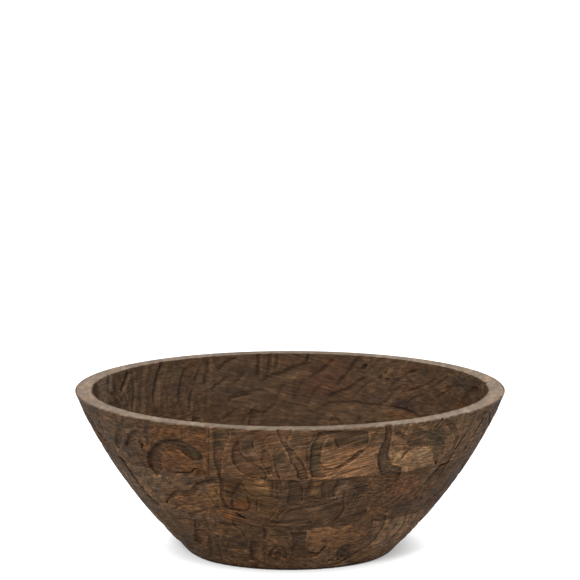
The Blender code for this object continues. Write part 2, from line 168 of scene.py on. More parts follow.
# Strokes on the front: shape of the cut, width, depth, how far it fades at its start and end, and its path as
# (sideways, height). flat: a channel with two steep sides. round: a plain gouge. vee: a V tool. step: steep
# on the right of travel, running out to the surface on the left. facet: a step with a softer lip.
FRONT_STROKES = (
    # rim layer, left to right
    ("vee", 2.8, 1.2, (4, 4), ((-150, 111), (-143, 102), (-135.5, 94.5), (-128, 88.5))),
    ("step", 5.0, 1.3, (4, 6), ((-127, 83), (-134, 91), (-142, 101), (-149, 112))),
    ("vee", 2.2, 1.0, (3, 3), ((-139, 107.5), (-134.5, 102), (-131, 98))),
    ("step", 4.5, 1.7, (3, 3), ((-62.5, 85), (-66, 83.8), (-69.5, 80.8), (-76, 79), (-83, 78.4), (-88, 80),
        (-90.3, 83.5))),
    ("flat", 4.4, 1.4, (2, 2), ((-67.5, 82), (-63, 83), (-59, 81.5))),
    ("vee", 1.6, 0.8, (1, 2), ((-76, 119), (-76.2, 112), (-76, 105))),
    ("vee", 1.8, 0.9, (1, 1), ((-56.9, 119), (-57, 100), (-57.2, 80))),
    ("vee", 2.6, 1.2, (2, 2), ((-26.6, 110), (-25.9, 107), (-26.4, 104.5))),
    ("vee", 1.8, 0.8, (2, 2), ((-12.5, 117.5), (-17.5, 112), (-20.6, 107))),
    ("vee", 1.6, 0.7, (2, 2), ((-6, 110), (-9.5, 106.5), (-11.5, 103))),
    ("vee", 1.6, 0.7, (2, 2), ((-4.6, 107), (-8.2, 103.6), (-10.2, 101))),
    ("vee", 2.0, 1.3, (1, 2), ((-10.4, 93), (-9, 86), (-7.2, 80.5))),
    ("vee", 2.0, 1.2, (2, 2), ((1.4, 107.4), (5, 107.6), (9, 108), (13, 108.8), (15.6, 111),
        (17.6, 115.6))),
    ("vee", 1.8, 0.8, (2, 2), ((11.4, 105.5), (12.4, 97), (12.6, 90))),
    ("flat", 4.2, 1.3, (3, 3), ((27, 81.6), (31.5, 86.6), (37, 90.6), (43, 95), (48, 99), (52, 102))),
    ("step", 3.6, 0.9, (3, 4), ((56, 88), (47, 86.6), (39, 83.6), (34, 81.8))),
    ("flat", 4.0, 1.0, (4, 4), ((74, 113), (79, 110.5), (84, 106.5))),
    ("vee", 2.0, 0.9, (3, 3), ((73.5, 104), (79, 103.2), (84.5, 103))),
    ("flat", 3.0, 1.1, (2, 3), ((84.6, 98.4), (81, 95.4), (79, 91.6))),
    ("step", 4.0, 1.3, (4, 6), ((88.7, 57.1), (94.5, 64.3), (98.9, 69.6), (103.3, 74.8), (108, 80),
        (113, 81.6), (116.8, 87.3), (120.4, 93.8), (124.8, 100.4), (129, 107))),
    ("step", 4.5, 1.2, (3, 8), ((113, 83), (121, 95), (128, 106), (134, 117))),
    ("flat", 5.0, 1.2, (3, 5), ((112, 117), (117.5, 109), (119.6, 100), (116.4, 92))),
    ("step", 5.0, 1.3, (3, 8), ((125, 87), (132, 98), (138, 108), (143, 119))),
    ("flat", 3.0, 1.0, (2, 3), ((103, 113.5), (107, 117), (110, 121))),
    # middle layer, left to right
    ("flat", 4.4, 2.6, (4, 5), ((-122.7, 82), (-116.1, 72.2), (-113.1, 66.9), (-109.5, 60.4),
        (-105.1, 55.8), (-100.7, 50.6), (-97, 47.3), (-93.6, 44))),
    ("flat", 4.4, 1.0, (4, 3), ((-103, 68), (-99.5, 60), (-95.4, 54), (-93, 49))),
    ("vee", 2.4, 1.2, (3, 3), ((-100.5, 82), (-98.4, 77.6), (-96.3, 73.5), (-93.3, 71.5))),
    ("step", 4.0, 1.1, (5, 8), ((-112, 48), (-119, 56.5), (-126, 66), (-134, 77))),
    ("vee", 2.4, 1.0, (3, 4), ((-66, 55), (-72, 53), (-78.7, 51), (-83.5, 46))),
    ("flat", 3.0, 0.9, (2, 3), ((-60.4, 50.8), (-64, 49), (-69, 46))),
    ("vee", 2.6, 1.1, (2, 2), ((-49, 63.5), (-52, 66), (-50.6, 70))),
    ("flat", 5.0, 1.0, (2, 2), ((-51, 58), (-50.6, 51))),
    ("round", 4.2, 1.4, (1, 3), ((-48.6, 79), (-48.2, 68.9), (-48.3, 62.4), (-46.4, 57.8), (-44, 53.6))),
    ("round", 3.6, 1.2, (2, 2), ((-43.6, 53.6), (-38.6, 53.2), (-34, 52.2))),
    ("flat", 2.2, 2.8, (2, 1), ((-38.0, 50.6), (-36.6, 49), (-34.4, 47.2), (-31.6, 46))),
    ("round", 3.4, 1.0, (2, 3), ((-35, 76), (-38, 70), (-41.4, 64))),
    ("round", 2.8, 1.0, (2, 2), ((-40.6, 62.5), (-41, 57.4), (-38.6, 54.4))),
    ("round", 3.0, 1.1, (2, 3), ((-33, 52.6), (-29.4, 54.6), (-28.4, 60), (-30.4, 66))),
    ("step", 4.6, 1.0, (3, 3), ((-57.6, 72.6), (-61.6, 67.6), (-66.4, 62))),
    ("vee", 2.2, 1.0, (2, 2), ((-39, 43.6), (-38.6, 36.6))),
    ("step", 4.0, 1.1, (3, 3), ((-12, 65.2), (-20, 65), (-25.8, 64.8), (-29.5, 67.4), (-33, 71.5),
        (-35, 77))),
    ("round", 2.4, 0.8, (2, 3), ((-23.4, 62), (-23.4, 57), (-24, 51))),
    ("round", 2.2, 0.7, (2, 3), ((-19.6, 62), (-19.6, 57), (-20.2, 52))),
    ("round", 2.4, 0.7, (2, 3), ((-12.6, 80), (-12.2, 73), (-12.8, 66))),
    ("round", 2.4, 0.7, (2, 3), ((-6.6, 79), (-6.2, 72), (-5.6, 66))),
    ("step", 2.8, 0.9, (1, 1), ((-24, 75.2), (-20.6, 74.6), (-17, 75.4))),
    ("vee", 2.0, 0.9, (3, 3), ((-15, 54), (-10.4, 57.5), (-7.6, 63))),
    ("vee", 2.2, 1.0, (3, 4), ((-2, 56), (-6.5, 51.5), (-9.4, 46.4), (-13.4, 42))),
    ("vee", 2.0, 0.9, (3, 4), ((-8.6, 56), (-12.2, 50), (-17, 43))),
    ("flat", 3.4, 1.3, (2, 3), ((7.4, 75), (7.8, 68), (8, 62))),
    ("vee", 2.2, 1.0, (2, 2), ((12, 66), (19, 64), (27, 62))),
    ("flat", 5.0, 1.0, (3, 3), ((15.5, 79), (14.6, 72), (12.6, 66))),
    ("flat", 4.0, 0.9, (3, 4), ((24, 78), (23.4, 70), (25, 63))),
    ("round", 3.4, 1.0, (2, 4), ((38.4, 70), (38, 64), (37.8, 58), (38.4, 54.4), (35.8, 49), (31.7, 44))),
    ("step", 6.0, 1.5, (2, 3), ((43.5, 79), (39.6, 72.4), (36, 65.4), (34, 62.4))),
    ("step", 5.0, 1.1, (2, 3), ((30, 64.6), (32, 70), (35.5, 76.4), (37, 79.4))),
    ("vee", 2.4, 1.2, (2, 2), ((48.6, 61), (47, 57.4), (45.8, 55))),
    ("step", 3.4, 1.0, (2, 2), ((40, 56), (43, 61), (45.6, 66.5))),
    ("step", 3.4, 1.0, (2, 2), ((43.6, 57), (46.4, 62.4), (48, 66))),
    ("step", 5.5, 1.0, (4, 6), ((57, 65.8), (66, 67.6), (74, 72.6), (80, 78.6))),
    ("vee", 2.2, 0.9, (4, 4), ((60, 74), (66, 72), (73, 75.5))),
    ("step", 3.4, 1.2, (2, 2), ((71.4, 52.8), (76.2, 57), (80.6, 59.4))),
    ("step", 4.0, 1.1, (3, 5), ((97, 45), (100.4, 48.6), (104.8, 51.6), (109.4, 54.8), (114, 60))),
    ("step", 4.5, 1.0, (4, 7), ((106, 70), (112, 79), (118, 88))),
    ("vee", 2.2, 0.8, (3, 4), ((62, 62), (66, 56), (64, 49))),
    # base layer, left to right
    ("vee", 2.2, 1.2, (2, 2), ((-68.7, 39.6), (-68.4, 31.5))),
    ("vee", 1.8, 0.9, (1, 1), ((-65.4, 37), (-64.6, 33))),
    ("step", 3.6, 1.2, (2, 2), ((-62.6, 15.5), (-60.2, 18.4), (-59.8, 22))),
    ("flat", 4.0, 1.2, (3, 4), ((-58.2, 28), (-58, 16), (-58.8, 5))),
    ("vee", 2.0, 1.0, (2, 3), ((-54.9, 27.4), (-55.2, 18), (-57, 10))),
    ("flat", 2.8, 0.9, (3, 3), ((-52.8, 20), (-51.4, 12), (-49.6, 4.4))),
    ("vee", 2.0, 1.0, (2, 2), ((-50.4, 25), (-47.8, 18.6), (-46, 13))),
    ("flat", 2.4, 0.9, (2, 3), ((-41, 44), (-39.7, 38.6), (-36.3, 36.6), (-34.3, 34.3), (-33, 30.7),
        (-31.6, 27), (-30.2, 23.6))),
    ("vee", 2.0, 0.9, (2, 2), ((-45, 11.6), (-40, 12.4), (-35, 11.8))),
    ("vee", 2.6, 1.2, (2, 1), ((-14.4, 31.8), (-8, 31.6), (-1, 32.2))),
    ("flat", 3.0, 1.1, (2, 2), ((-19, 38), (-17.6, 33), (-18.6, 28))),
    ("flat", 3.6, 1.1, (3, 3), ((-14.2, 12), (-12.6, 18), (-9, 21.6), (-5, 20.6), (-2.8, 16), (-2.6, 10))),
    ("flat", 5.0, 1.4, (1, 3), ((-8.8, 17), (-8.4, 13), (-9.4, 8))),
    ("vee", 2.0, 0.9, (2, 3), ((-19.4, 24), (-17.6, 18), (-18.6, 10))),
    ("step", 8.0, 1.3, (3, 0), ((30, 4.4), (33.6, 4.9), (37.6, 6.6), (42.2, 9.5), (46.9, 12.4), (50.9, 15),
        (55.3, 17.4), (57.9, 20), (60.6, 23.5), (62, 27.1), (64, 31.3), (65.7, 36.6), (66, 43))),
    ("round", 4.0, 0.9, (0, 5), ((59.6, 43), (59.2, 36), (57.6, 31), (55.6, 27), (53, 23))),
    ("step", 6.0, 1.2, (4, 0), ((70.6, 14), (72.4, 15.8), (74.4, 19.4), (77.6, 23.5), (80.3, 27.7),
        (81.6, 31.3), (82.8, 38.4), (83.2, 43))),
    ("flat", 3.6, 1.2, (3, 3), ((72.6, 29), (71.6, 24.4), (70.2, 20.4))),
    ("step", 3.6, 1.0, (3, 3), ((68, 14), (71, 22), (75, 31), (77.8, 39))),
    ("vee", 2.6, 1.1, (3, 4), ((93, 39), (91, 30), (86, 21), (81, 15))),
    ("vee", 2.2, 1.1, (3, 4), ((-98, 36), (-90, 28.5), (-85, 23.5), (-79, 18.6), (-72.8, 14.8))),
    ("step", 4.0, 1.0, (4, 6), ((-72, 11), (-79, 20), (-87, 30), (-93, 38))),
    ("vee", 2.0, 0.8, (3, 4), ((-83, 38), (-77, 29), (-73.4, 24))),
    ("vee", 2.0, 0.8, (3, 4), ((36, 2.8), (48, 5.6), (58, 9))),
    ("vee", 2.4, 1.0, (1, 2), ((66.4, 15), (67.6, 11.6))),
    ("vee", 1.8, 0.8, (2, 3), ((74.6, 41), (72.4, 35), (69.6, 28))),
    ("vee", 1.8, 0.8, (2, 3), ((79.4, 40), (77.6, 34), (74.4, 27))),
    ("vee", 1.8, 0.8, (2, 3), ((89.6, 41), (86.4, 33), (81.4, 24))),
    ("vee", 1.6, 0.7, (2, 3), ((64, 14), (56, 10), (47, 6.4))),
)

# The same for the part of the inside that shows at the back
INSIDE_STROKES = (
    # left: upright cuts, each steep on its left side
    ("facet", 7.0, 1.4, (0, 4), ((-135.6, 122), (-135.8, 114), (-134.4, 103))),
    ("round", 3.4, 1.2, (1, 3), ((-123.4, 117), (-125.6, 112), (-128, 106.4))),
    ("round", 4.0, 0.6, (3, 4), ((-119, 111), (-118.6, 101), (-119.5, 92))),
    ("facet", 6.0, 0.8, (1, 4), ((-112, 122), (-112.8, 110), (-112.5, 100), (-113.5, 91))),
    ("facet", 8.0, 1.6, (0, 7), ((-96.6, 122), (-98, 115), (-100.4, 110), (-101.6, 103.6), (-102.8, 97.7),
        (-103, 90))),
    ("facet", 6.0, 0.6, (3, 5), ((-89, 119), (-91, 108), (-93, 96), (-93.5, 87))),
    ("facet", 6.0, 1.1, (3, 5), ((-79.5, 114), (-83, 104), (-85, 92))),
    ("facet", 6.0, 1.0, (3, 5), ((-69, 113), (-72.5, 102), (-76, 92), (-77, 84))),
    ("round", 5.0, 0.9, (3, 5), ((-63, 118), (-64, 109), (-66, 99))),
    # middle
    ("facet", 6.5, 1.6, (3, 3), ((-42, 117), (-48, 114), (-55, 109.2))),
    ("facet", 6.0, 1.2, (3, 4), ((-46, 104.5), (-53, 99.8), (-61, 95.5))),
    ("facet", 6.0, 1.1, (3, 4), ((-33, 108), (-38, 102), (-45, 96.5))),
    ("facet", 8.0, 1.3, (3, 4), ((-19, 92.6), (-27.3, 91.2), (-34.7, 90.5), (-42, 89.2), (-48, 87))),
    ("vee", 2.0, 1.4, (2, 3), ((-47.2, 85.6), (-45.7, 88.6), (-42, 89.4), (-34.7, 90.7), (-27.3, 91.4))),
    ("round", 3.4, 1.4, (1, 3), ((-24, 122), (-24.4, 112), (-24.8, 103))),
    ("round", 3.6, 1.1, (1, 3), ((-15, 122), (-16, 112), (-17, 104))),
    ("round", 3.2, 1.0, (1, 3), ((-10, 122), (-10, 115), (-11, 109))),
    ("facet", 5.0, 1.1, (2, 3), ((-40, 81), (-46, 77), (-53, 73))),
    ("facet", 5.0, 1.1, (2, 3), ((-25, 82), (-30, 77), (-36, 72))),
    ("facet", 5.0, 1.1, (2, 3), ((-11, 83), (-17, 78), (-23, 73))),
    ("facet", 9.0, 1.8, (3, 4), ((16, 112), (11.3, 109.9), (4.7, 107.8), (0, 106), (-3.3, 104), (-8, 102.6),
        (-13.3, 102), (-20, 100))),
    ("facet", 6.0, 1.2, (4, 4), ((-2, 99), (-7, 91), (-10, 83))),
    ("facet", 6.0, 1.2, (4, 4), ((12, 101), (7, 92), (3, 83))),
    ("facet", 6.0, 1.1, (4, 4), ((25, 97), (19, 90), (14, 82))),
    ("vee", 2.6, 1.2, (3, 1), ((12, 112.5), (14, 117), (14.5, 122))),
    ("facet", 7.0, 1.3, (3, 4), ((36, 117), (30, 110), (22, 104), (15, 101))),
    # right: cuts that lean to the right, steep above
    ("facet", 7.0, 1.8, (2, 4), ((57, 120), (50.7, 112.9), (47.3, 108), (43.3, 103.3), (38, 98))),
    ("facet", 7.0, 1.6, (3, 4), ((60, 104.5), (50, 96.8), (43.3, 93.2), (36.7, 90.8), (30, 87.5))),
    ("facet", 5.0, 1.3, (3, 4), ((64, 102.5), (55.3, 95), (49, 89))),
    ("round", 4.2, 1.3, (1, 1), ((56.6, 110.6), (59.8, 113.6))),
    ("facet", 6.0, 1.3, (3, 2), ((76, 121), (68, 115), (61, 108))),
    ("round", 2.6, 0.9, (1, 1), ((69, 104), (71, 107))),
    ("round", 2.6, 0.9, (1, 1), ((73, 108), (75.4, 111))),
    ("round", 2.6, 0.9, (1, 1), ((74, 103), (76.6, 105.6))),
    ("facet", 6.5, 1.6, (3, 4), ((98, 113), (91, 109.5), (84, 104), (77, 99))),
    ("facet", 6.0, 1.4, (3, 4), ((87, 101.5), (81, 96), (76.5, 90.5), (72, 85.5))),
    ("facet", 6.0, 1.4, (3, 4), ((113, 110.5), (106, 105), (99, 101), (91, 98))),
    ("facet", 5.0, 1.2, (3, 4), ((103, 97.5), (95, 93.5), (88, 88))),
    ("vee", 3.0, 1.4, (0, 2), ((145.2, 122), (144.2, 114))),
    ("facet", 6.0, 1.5, (2, 3), ((131, 121), (127, 112.5), (121, 105), (112, 97))),
    ("facet", 5.0, 1.2, (3, 3), ((121, 114), (115, 108), (107, 102.5))),
    ("facet", 4.0, 1.1, (2, 3), ((131, 109.6), (127, 109), (122, 107.4), (117, 104.4))),
    ("facet", 6.0, 1.3, (3, 3), ((97, 82.5), (78, 85), (62, 84.6), (45, 85), (28, 83))),
)

# Motifs in the same hand for the flanks and the rest of the inside, as (sideways, upwards) from their middle
MOTIFS = (
    (("flat", 8.2, 1.8, (1, 8), ((15, -5), (8, 2), (-2, 6.5), (-12, 3), (-16, -7), (-13, -18))),
     ("step", 4.5, 1.2, (4, 3), ((13, -13), (6, -14.5), (-2, -16), (-8, -11)))),
    (("flat", 7.2, 1.7, (2, 8), ((2, 19), (-2, 7), (-2, -5), (3, -17))),
     ("vee", 2.4, 1.0, (3, 3), ((10, 16), (6, 6), (5, -5)))),
    (("flat", 9.5, 1.5, (5, 5), ((-9, 12), (-9.5, 2), (-5, -7), (5, -15))),
     ("step", 4.5, 1.4, (3, 3), ((-7, 5), (0, -1), (8, -7), (12, -16)))),
    (("flat", 4.4, 2.0, (0, 5), ((14, 20), (13, 8), (7, -3), (-5, -11), (-17, -15))),
     ("vee", 3.0, 1.2, (3, 3), ((6, 14), (2, 3), (-8, -5)))),
    (("flat", 8.6, 1.9, (1, 3), ((1, 20), (0, 7), (0, -4), (4, -12), (12, -16))),
     ("vee", 2.2, 0.9, (2, 4), ((-8, 14), (-8, 2), (-6, -9)))),
    (("flat", 6.6, 1.5, (3, 6), ((-12, -10), (-9, 2), (-2, 8), (4, 3), (7, -9))),
     ("flat", 6.4, 1.2, (1, 1), ((-19, 7), (-19.5, 0), (-19, -8)))),
    (("step", 6.0, 1.3, (4, 7), ((-16, -17), (-6, -6), (3, 6), (11, 18))),
     ("vee", 2.6, 1.1, (4, 5), ((-3, -16), (6, -5), (14, 7)))),
)
FLANK_REACHES = ((68, 112), (248, 292))  # degrees round from the front that the motifs cover outside
FLANK_COUNT = (3, 3, 2)                  # motifs in the rim, middle and base layers of each flank
INSIDE_COUNT = (17, 14)                  # motifs in the rim and middle layers inside

# Areas of lighter, warmer or greyer stain: middle, half size, softness (mm), sRGB colour under the stain,
# strength, and for some how many degrees the top leans to the right
OUTSIDE_TINTS = (
    ((20, 60), (30, 18), 8.0, (78, 60, 45), 0.7),
    ((-80, 97), (23, 19), 5.0, (98, 68, 44), 0.8),
    ((-124, 100), (17, 17), 7.0, (96, 77, 60), 0.7),
    ((-108, 62), (18, 16), 6.0, (106, 84, 64), 0.8),
    ((80, 66), (24, 12), 6.0, (96, 69, 49), 0.6),
    ((41.5, 92.5), (20, 11.5), 1.6, (134, 100, 72), 1.0),
    ((35.5, 30.5), (20.5, 9.5), 1.6, (118, 86, 60), 0.95),
    ((75.5, 26), (9, 17), 2.4, (134, 106, 82), 0.8, 18),
    ((-70, 57), (21, 8), 3.0, (106, 76, 50), 0.8),
    ((122, 104), (14, 12), 5.0, (112, 88, 66), 0.6),
    ((87, 90), (16, 8.5), 1.6, (142, 112, 82), 1.0),
    ((90, 49), (20, 6), 4.0, (80, 60, 46), 0.6),
    ((1, 97), (6, 18), 4.0, (108, 82, 60), 0.5),
    ((60, 8), (16, 6), 4.0, (112, 84, 58), 0.7),
    ((38, 112), (16, 5), 2.0, (76, 62, 48), 0.8),
    ((-24, 71), (10, 7.5), 1.6, (99, 75, 49), 0.8),
    ((-17, 57), (9, 8), 5.0, (92, 68, 42), 0.6),
    ((-45, 33), (14, 5), 3.0, (98, 74, 48), 0.6),
    ((-97, 90), (4.6, 12), 1.6, (74, 56, 43), 0.5, 8),
    ((17.5, 98), (3.8, 14), 1.6, (82, 70, 52), 0.8),
    ((82, 68), (10, 5), 3.0, (106, 73, 52), 0.4),
    ((66.5, 95), (3.4, 14), 1.2, (84, 69, 56), 0.8),
    ((105, 103), (5, 9), 2.0, (72, 64, 48), 0.8, -20),
    ((-54, 67), (7, 6), 3.0, (114, 84, 54), 0.7),
    ((-66, 26), (4.6, 8), 2.0, (94, 65, 44), 0.7),
    ((-84, 103.6), (10, 3.6), 1.6, (72, 56, 43), 0.6),
    ((-10, 27.5), (9, 4), 2.0, (98, 74, 50), 0.7),
    ((-7.5, 35.5), (7.4, 4.4), 1.4, (66, 56, 40), 0.7),
    ((-68.5, 97.5), (8.6, 3.6), 1.4, (70, 59, 45), 0.9, 35),
    ((-7.5, 97.3), (6, 4.8), 2.2, (72, 62, 47), 0.8),
    ((-1.4, 103.5), (2.4, 12), 1.3, (124, 99, 76), 0.8, -23),
    ((90, 105.4), (7, 4), 2.0, (88, 69, 53), 0.7),
    ((-37, 103.5), (3.6, 7), 1.5, (92, 63, 48), 0.7, 5),
    ((-43, 33.5), (7, 3.5), 2.0, (104, 78, 48), 0.6),
    ((101.5, 75), (1.6, 13), 1.1, (116, 93, 76), 0.7, 32),
    ((-26.7, 15), (3, 7.8), 1.5, (86, 59, 45), 0.6),
    ((72.5, 82), (6.4, 3.6), 1.2, (92, 77, 62), 0.7),
    ((41, 14), (3.6, 6), 2.0, (66, 52, 42), 0.8),
    ((-50.5, 97), (2.6, 8), 1.5, (88, 62, 50), 0.7),
    ((-50.5, 111), (3.4, 6), 1.5, (66, 60, 44), 0.8),
    ((-27, 101), (6, 3), 2.0, (108, 84, 70), 0.6),
    ((-34, 57.5), (4.5, 4), 4.0, (112, 70, 38), 0.7),
    ((4, 113), (4, 4), 2.0, (72, 56, 44), 0.5),
    ((56, 44.5), (4.5, 3.5), 2.0, (116, 88, 56), 0.6),
    ((18.5, 72), (2.6, 6), 1.5, (110, 84, 54), 0.5),
    ((50, 70), (4.6, 3.0), 2.0, (62, 47, 41), 0.7),
    ((-29, 107.5), (3, 4), 1.5, (70, 58, 44), 0.8),
    ((4.5, 35.5), (5, 2.4), 1.0, (66, 54, 50), 0.7),
    ((-61.5, 68.5), (3, 4), 2.0, (74, 58, 46), 0.6),
    ((92.5, 94), (4.5, 2.6), 2.0, (162, 136, 104), 0.8),
    ((38.2, 75), (2.8, 3.6), 1.5, (108, 87, 68), 0.8),
    ((-53.5, 69.5), (3.6, 2.6), 1.2, (122, 94, 60), 0.8),
    ((33, 68), (2.4, 3.6), 1.5, (112, 90, 70), 0.8),
    ((-43, 48), (2.5, 2.5), 4.0, (132, 84, 44), 0.8),
    ((26, 44.5), (2.5, 2.5), 1.5, (104, 86, 66), 0.6),
    ((19, 14), (3, 2), 1.0, (112, 82, 52), 0.6),
    ((-21, 78), (2.6, 1.6), 1.0, (146, 112, 76), 0.8),
    ((-72.3, 23.3), (1.4, 2.7), 1.0, (98, 86, 70), 0.6),
    ((-110, 62), (1.8, 20), 1.2, (64, 48, 37), 0.6, -34),
    ((-69, 49), (20, 2.6), 2.0, (118, 84, 54), 0.5),
    ((-100, 60), (6, 10), 2.0, (112, 90, 66), 0.5, -30),
    ((-66, 25), (4, 7), 1.4, (99, 66, 46), 0.8, 8),
    ((-76, 18), (4, 7), 2.0, (70, 56, 44), 0.6),
    ((-39, 20.6), (6.4, 3.6), 1.4, (72, 56, 42), 0.7),
    ((-56, 15), (3, 11), 1.4, (72, 58, 44), 0.6),
    ((6.4, 26), (5, 13), 1.8, (78, 61, 47), 0.7),
    ((10, 13.6), (8, 3), 1.4, (78, 60, 43), 0.7),
    ((-101.4, 112), (2.4, 11), 1.0, (80, 65, 54), 0.8),
)
INSIDE_TINTS = (                # the part that shows at the back
    ((-60, 100), (34, 14), 9.0, (86, 68, 54), 0.6),
    ((-118, 106), (17, 16), 6.0, (94, 76, 60), 0.7),
    ((28, 100), (20, 12), 7.0, (92, 64, 48), 0.7),
    ((62, 77), (34, 6.5), 3.0, (104, 80, 58), 0.8),
    ((92, 107), (12, 7), 5.0, (98, 72, 54), 0.6),
    ((0, 101), (12, 5), 4.0, (98, 74, 52), 0.6),
    ((-139, 111.5), (4.4, 9), 1.4, (130, 111, 92), 0.85),
    ((84, 81), (9, 2.6), 1.5, (112, 76, 50), 0.8),
    ((34, 113.5), (5, 2.6), 1.5, (104, 73, 47), 0.6),
    ((88, 89), (9, 3.2), 1.5, (62, 48, 45), 0.8),
    ((66, 90), (7, 3), 2.0, (74, 60, 54), 0.5),
    ((79.5, 92), (1.8, 6), 1.2, (102, 81, 60), 0.7, 40),
    ((93, 107), (1.8, 14), 1.4, (98, 80, 64), 0.6, 62),
    ((131, 110), (6, 8), 3.0, (74, 68, 62), 0.45),
    ((92, 101), (5, 4), 2.0, (96, 67, 50), 0.6),
    ((8, 90), (6, 10), 3.0, (76, 57, 43), 0.5),
    ((-2, 102), (1.8, 19), 1.2, (108, 82, 58), 0.7, 71.6),
    ((-50, 110), (1.6, 7), 1.2, (100, 80, 64), 0.6, 58),
    ((-90, 112), (7, 7), 2.0, (90, 78, 56), 0.5),
    ((-86, 101), (8, 4), 2.5, (76, 62, 57), 0.5),
)
# colours for the areas of stain on the flanks and the rest of the inside
REST_COLOURS = ((134, 100, 72), (98, 68, 44), (72, 58, 45), (112, 84, 58), (68, 55, 43), (120, 94, 68),
                (82, 58, 42))

# Each board: its layer, the joints on its left and right, its half of the ring where the hollow parts it, its
# colour outside under the carving (sRGB), the way its grain runs, and its material slot
Board = namedtuple("Board", "layer left right half colour grain slot")
BOARDS = {
    "rim_left_board": Board(2, None, -59, None, (88, 65, 46), "Y", "mango_brown"),
    "rim_front_board": Board(2, -59, 60, "front", (96, 72, 52), "X", "mango_tan"),
    "rim_back_board": Board(2, -59, 60, "back", (84, 65, 49), "X", "mango_grey_brown"),
    "rim_right_board": Board(2, 60, None, None, (98, 76, 56), "Y", "mango_tan"),
    "middle_left_board": Board(1, None, -50, None, (92, 71, 53), "Y", "mango_brown"),
    "middle_front_knot_board": Board(1, -50, -8, "front", (76, 55, 37), "X", "mango_knotty"),
    "middle_back_knot_board": Board(1, -50, -8, "back", (84, 62, 44), "X", "mango_knotty"),
    "middle_front_board": Board(1, -8, 55, "front", (82, 62, 47), "X", "mango_grey_brown"),
    "middle_back_board": Board(1, -8, 55, "back", (80, 61, 46), "X", "mango_grey_brown"),
    "middle_right_board": Board(1, 55, None, None, (90, 67, 47), "Y", "mango_red_brown"),
    "base_left_board": Board(0, None, -59, None, (88, 66, 43), "Y", "mango_grey_brown"),
    "base_knot_board": Board(0, -59, 12, None, (86, 64, 45), "Y", "mango_knotty"),
    "base_tan_board": Board(0, 12, 60, None, (98, 74, 53), "Y", "mango_tan"),
    "base_right_board": Board(0, 60, None, None, (112, 88, 66), "Y", "mango_brown"),
}
RIM_COLOUR = (117, 103, 90)
FLOOR_COLOUR = (84, 64, 48)
RIM_TONES = {"rim_left_board": 0.9, "rim_front_board": 0.74, "rim_back_board": 0.76, "rim_right_board": 0.95}
STAIN_OUTSIDE = (0.425, 0.41, 0.395)     # what the dark stain leaves of each board's colour
STAIN_INSIDE = (0.36, 0.357, 0.36)
FACET_LIGHT_AND_SHADE, FACET_LIGHT_UP, FACET_LIGHT_ALONG = 0.34, 0.8, 0.6      # painted light and shade: facets that face up and left are painted lighter, those that face down and right darker
JOINT_LINE = 0.7                # half width of the dark line where two layers meet
FLANK_SHADE = 0.12              # painted shade: how much darker the two sides of the bowl are
CUT_COLOUR = (80, 63, 49)
# the near-black of the creases: stain held in the cuts, with painted shade
CREASE_STAIN_AND_SHADE_COLOUR = (22, 14, 8)


def on_board(board, x, front):
    """Where a board of its layer lies, from the distance sideways and whether a point is in front."""
    left = -math.inf if board.left is None else board.left
    right = math.inf if board.right is None else board.right
    here = (x >= left) & (x < right)
    if board.half:
        here &= front if board.half == "front" else ~front
    return here


def linear(colour):
    c = np.asarray(colour, float) / 255
    return np.where(c <= 0.04045, c / 12.92, ((c + 0.055) / 1.055) ** 2.4)


def smooth(x, low, high):
    t = np.clip((x - low) / (high - low), 0, 1)
    return t * t * (3 - 2 * t)


class Noise:
    """Seeded lattice noise on the wall, from -1 to 1."""

    def __init__(self, seed):
        self.grid = np.random.default_rng(seed).uniform(-1, 1, (256, 256))

    def __call__(self, a, b, cell):
        a, b = a / cell, b / cell
        i, j = np.floor(a).astype(int), np.floor(b).astype(int)
        u, v = a - i, b - j
        u, v = u * u * (3 - 2 * u), v * v * (3 - 2 * v)
        g = self.grid
        i0, i1, j0, j1 = i % 256, (i + 1) % 256, j % 256, (j + 1) % 256
        return (g[i0, j0] * (1 - u) * (1 - v) + g[i1, j0] * u * (1 - v) + g[i0, j1] * (1 - u) * v
                + g[i1, j1] * u * v)


def through(corners, spacing, closed=False):
    """Closely spaced points on the smooth curve through some corners, which may be closed."""
    p = np.asarray(corners, float)
    p = np.vstack([p[-1:], p, p[:2]] if closed else [2 * p[0] - p[1], p, 2 * p[-1] - p[-2]])
    curve = []
    for a, b, c, d in zip(p, p[1:], p[2:], p[3:]):
        count = max(2, int(np.linalg.norm(c - b) / spacing))
        t = np.linspace(0, 1, count, endpoint=False)[:, None]
        curve.append(0.5 * (2 * b + (c - a) * t + (2 * a - 5 * b + 4 * c - d) * t**2
                            + (3 * b - a - 3 * c + d) * t**3))
    if not closed:
        curve.append(p[-2][None])
    return np.vstack(curve)


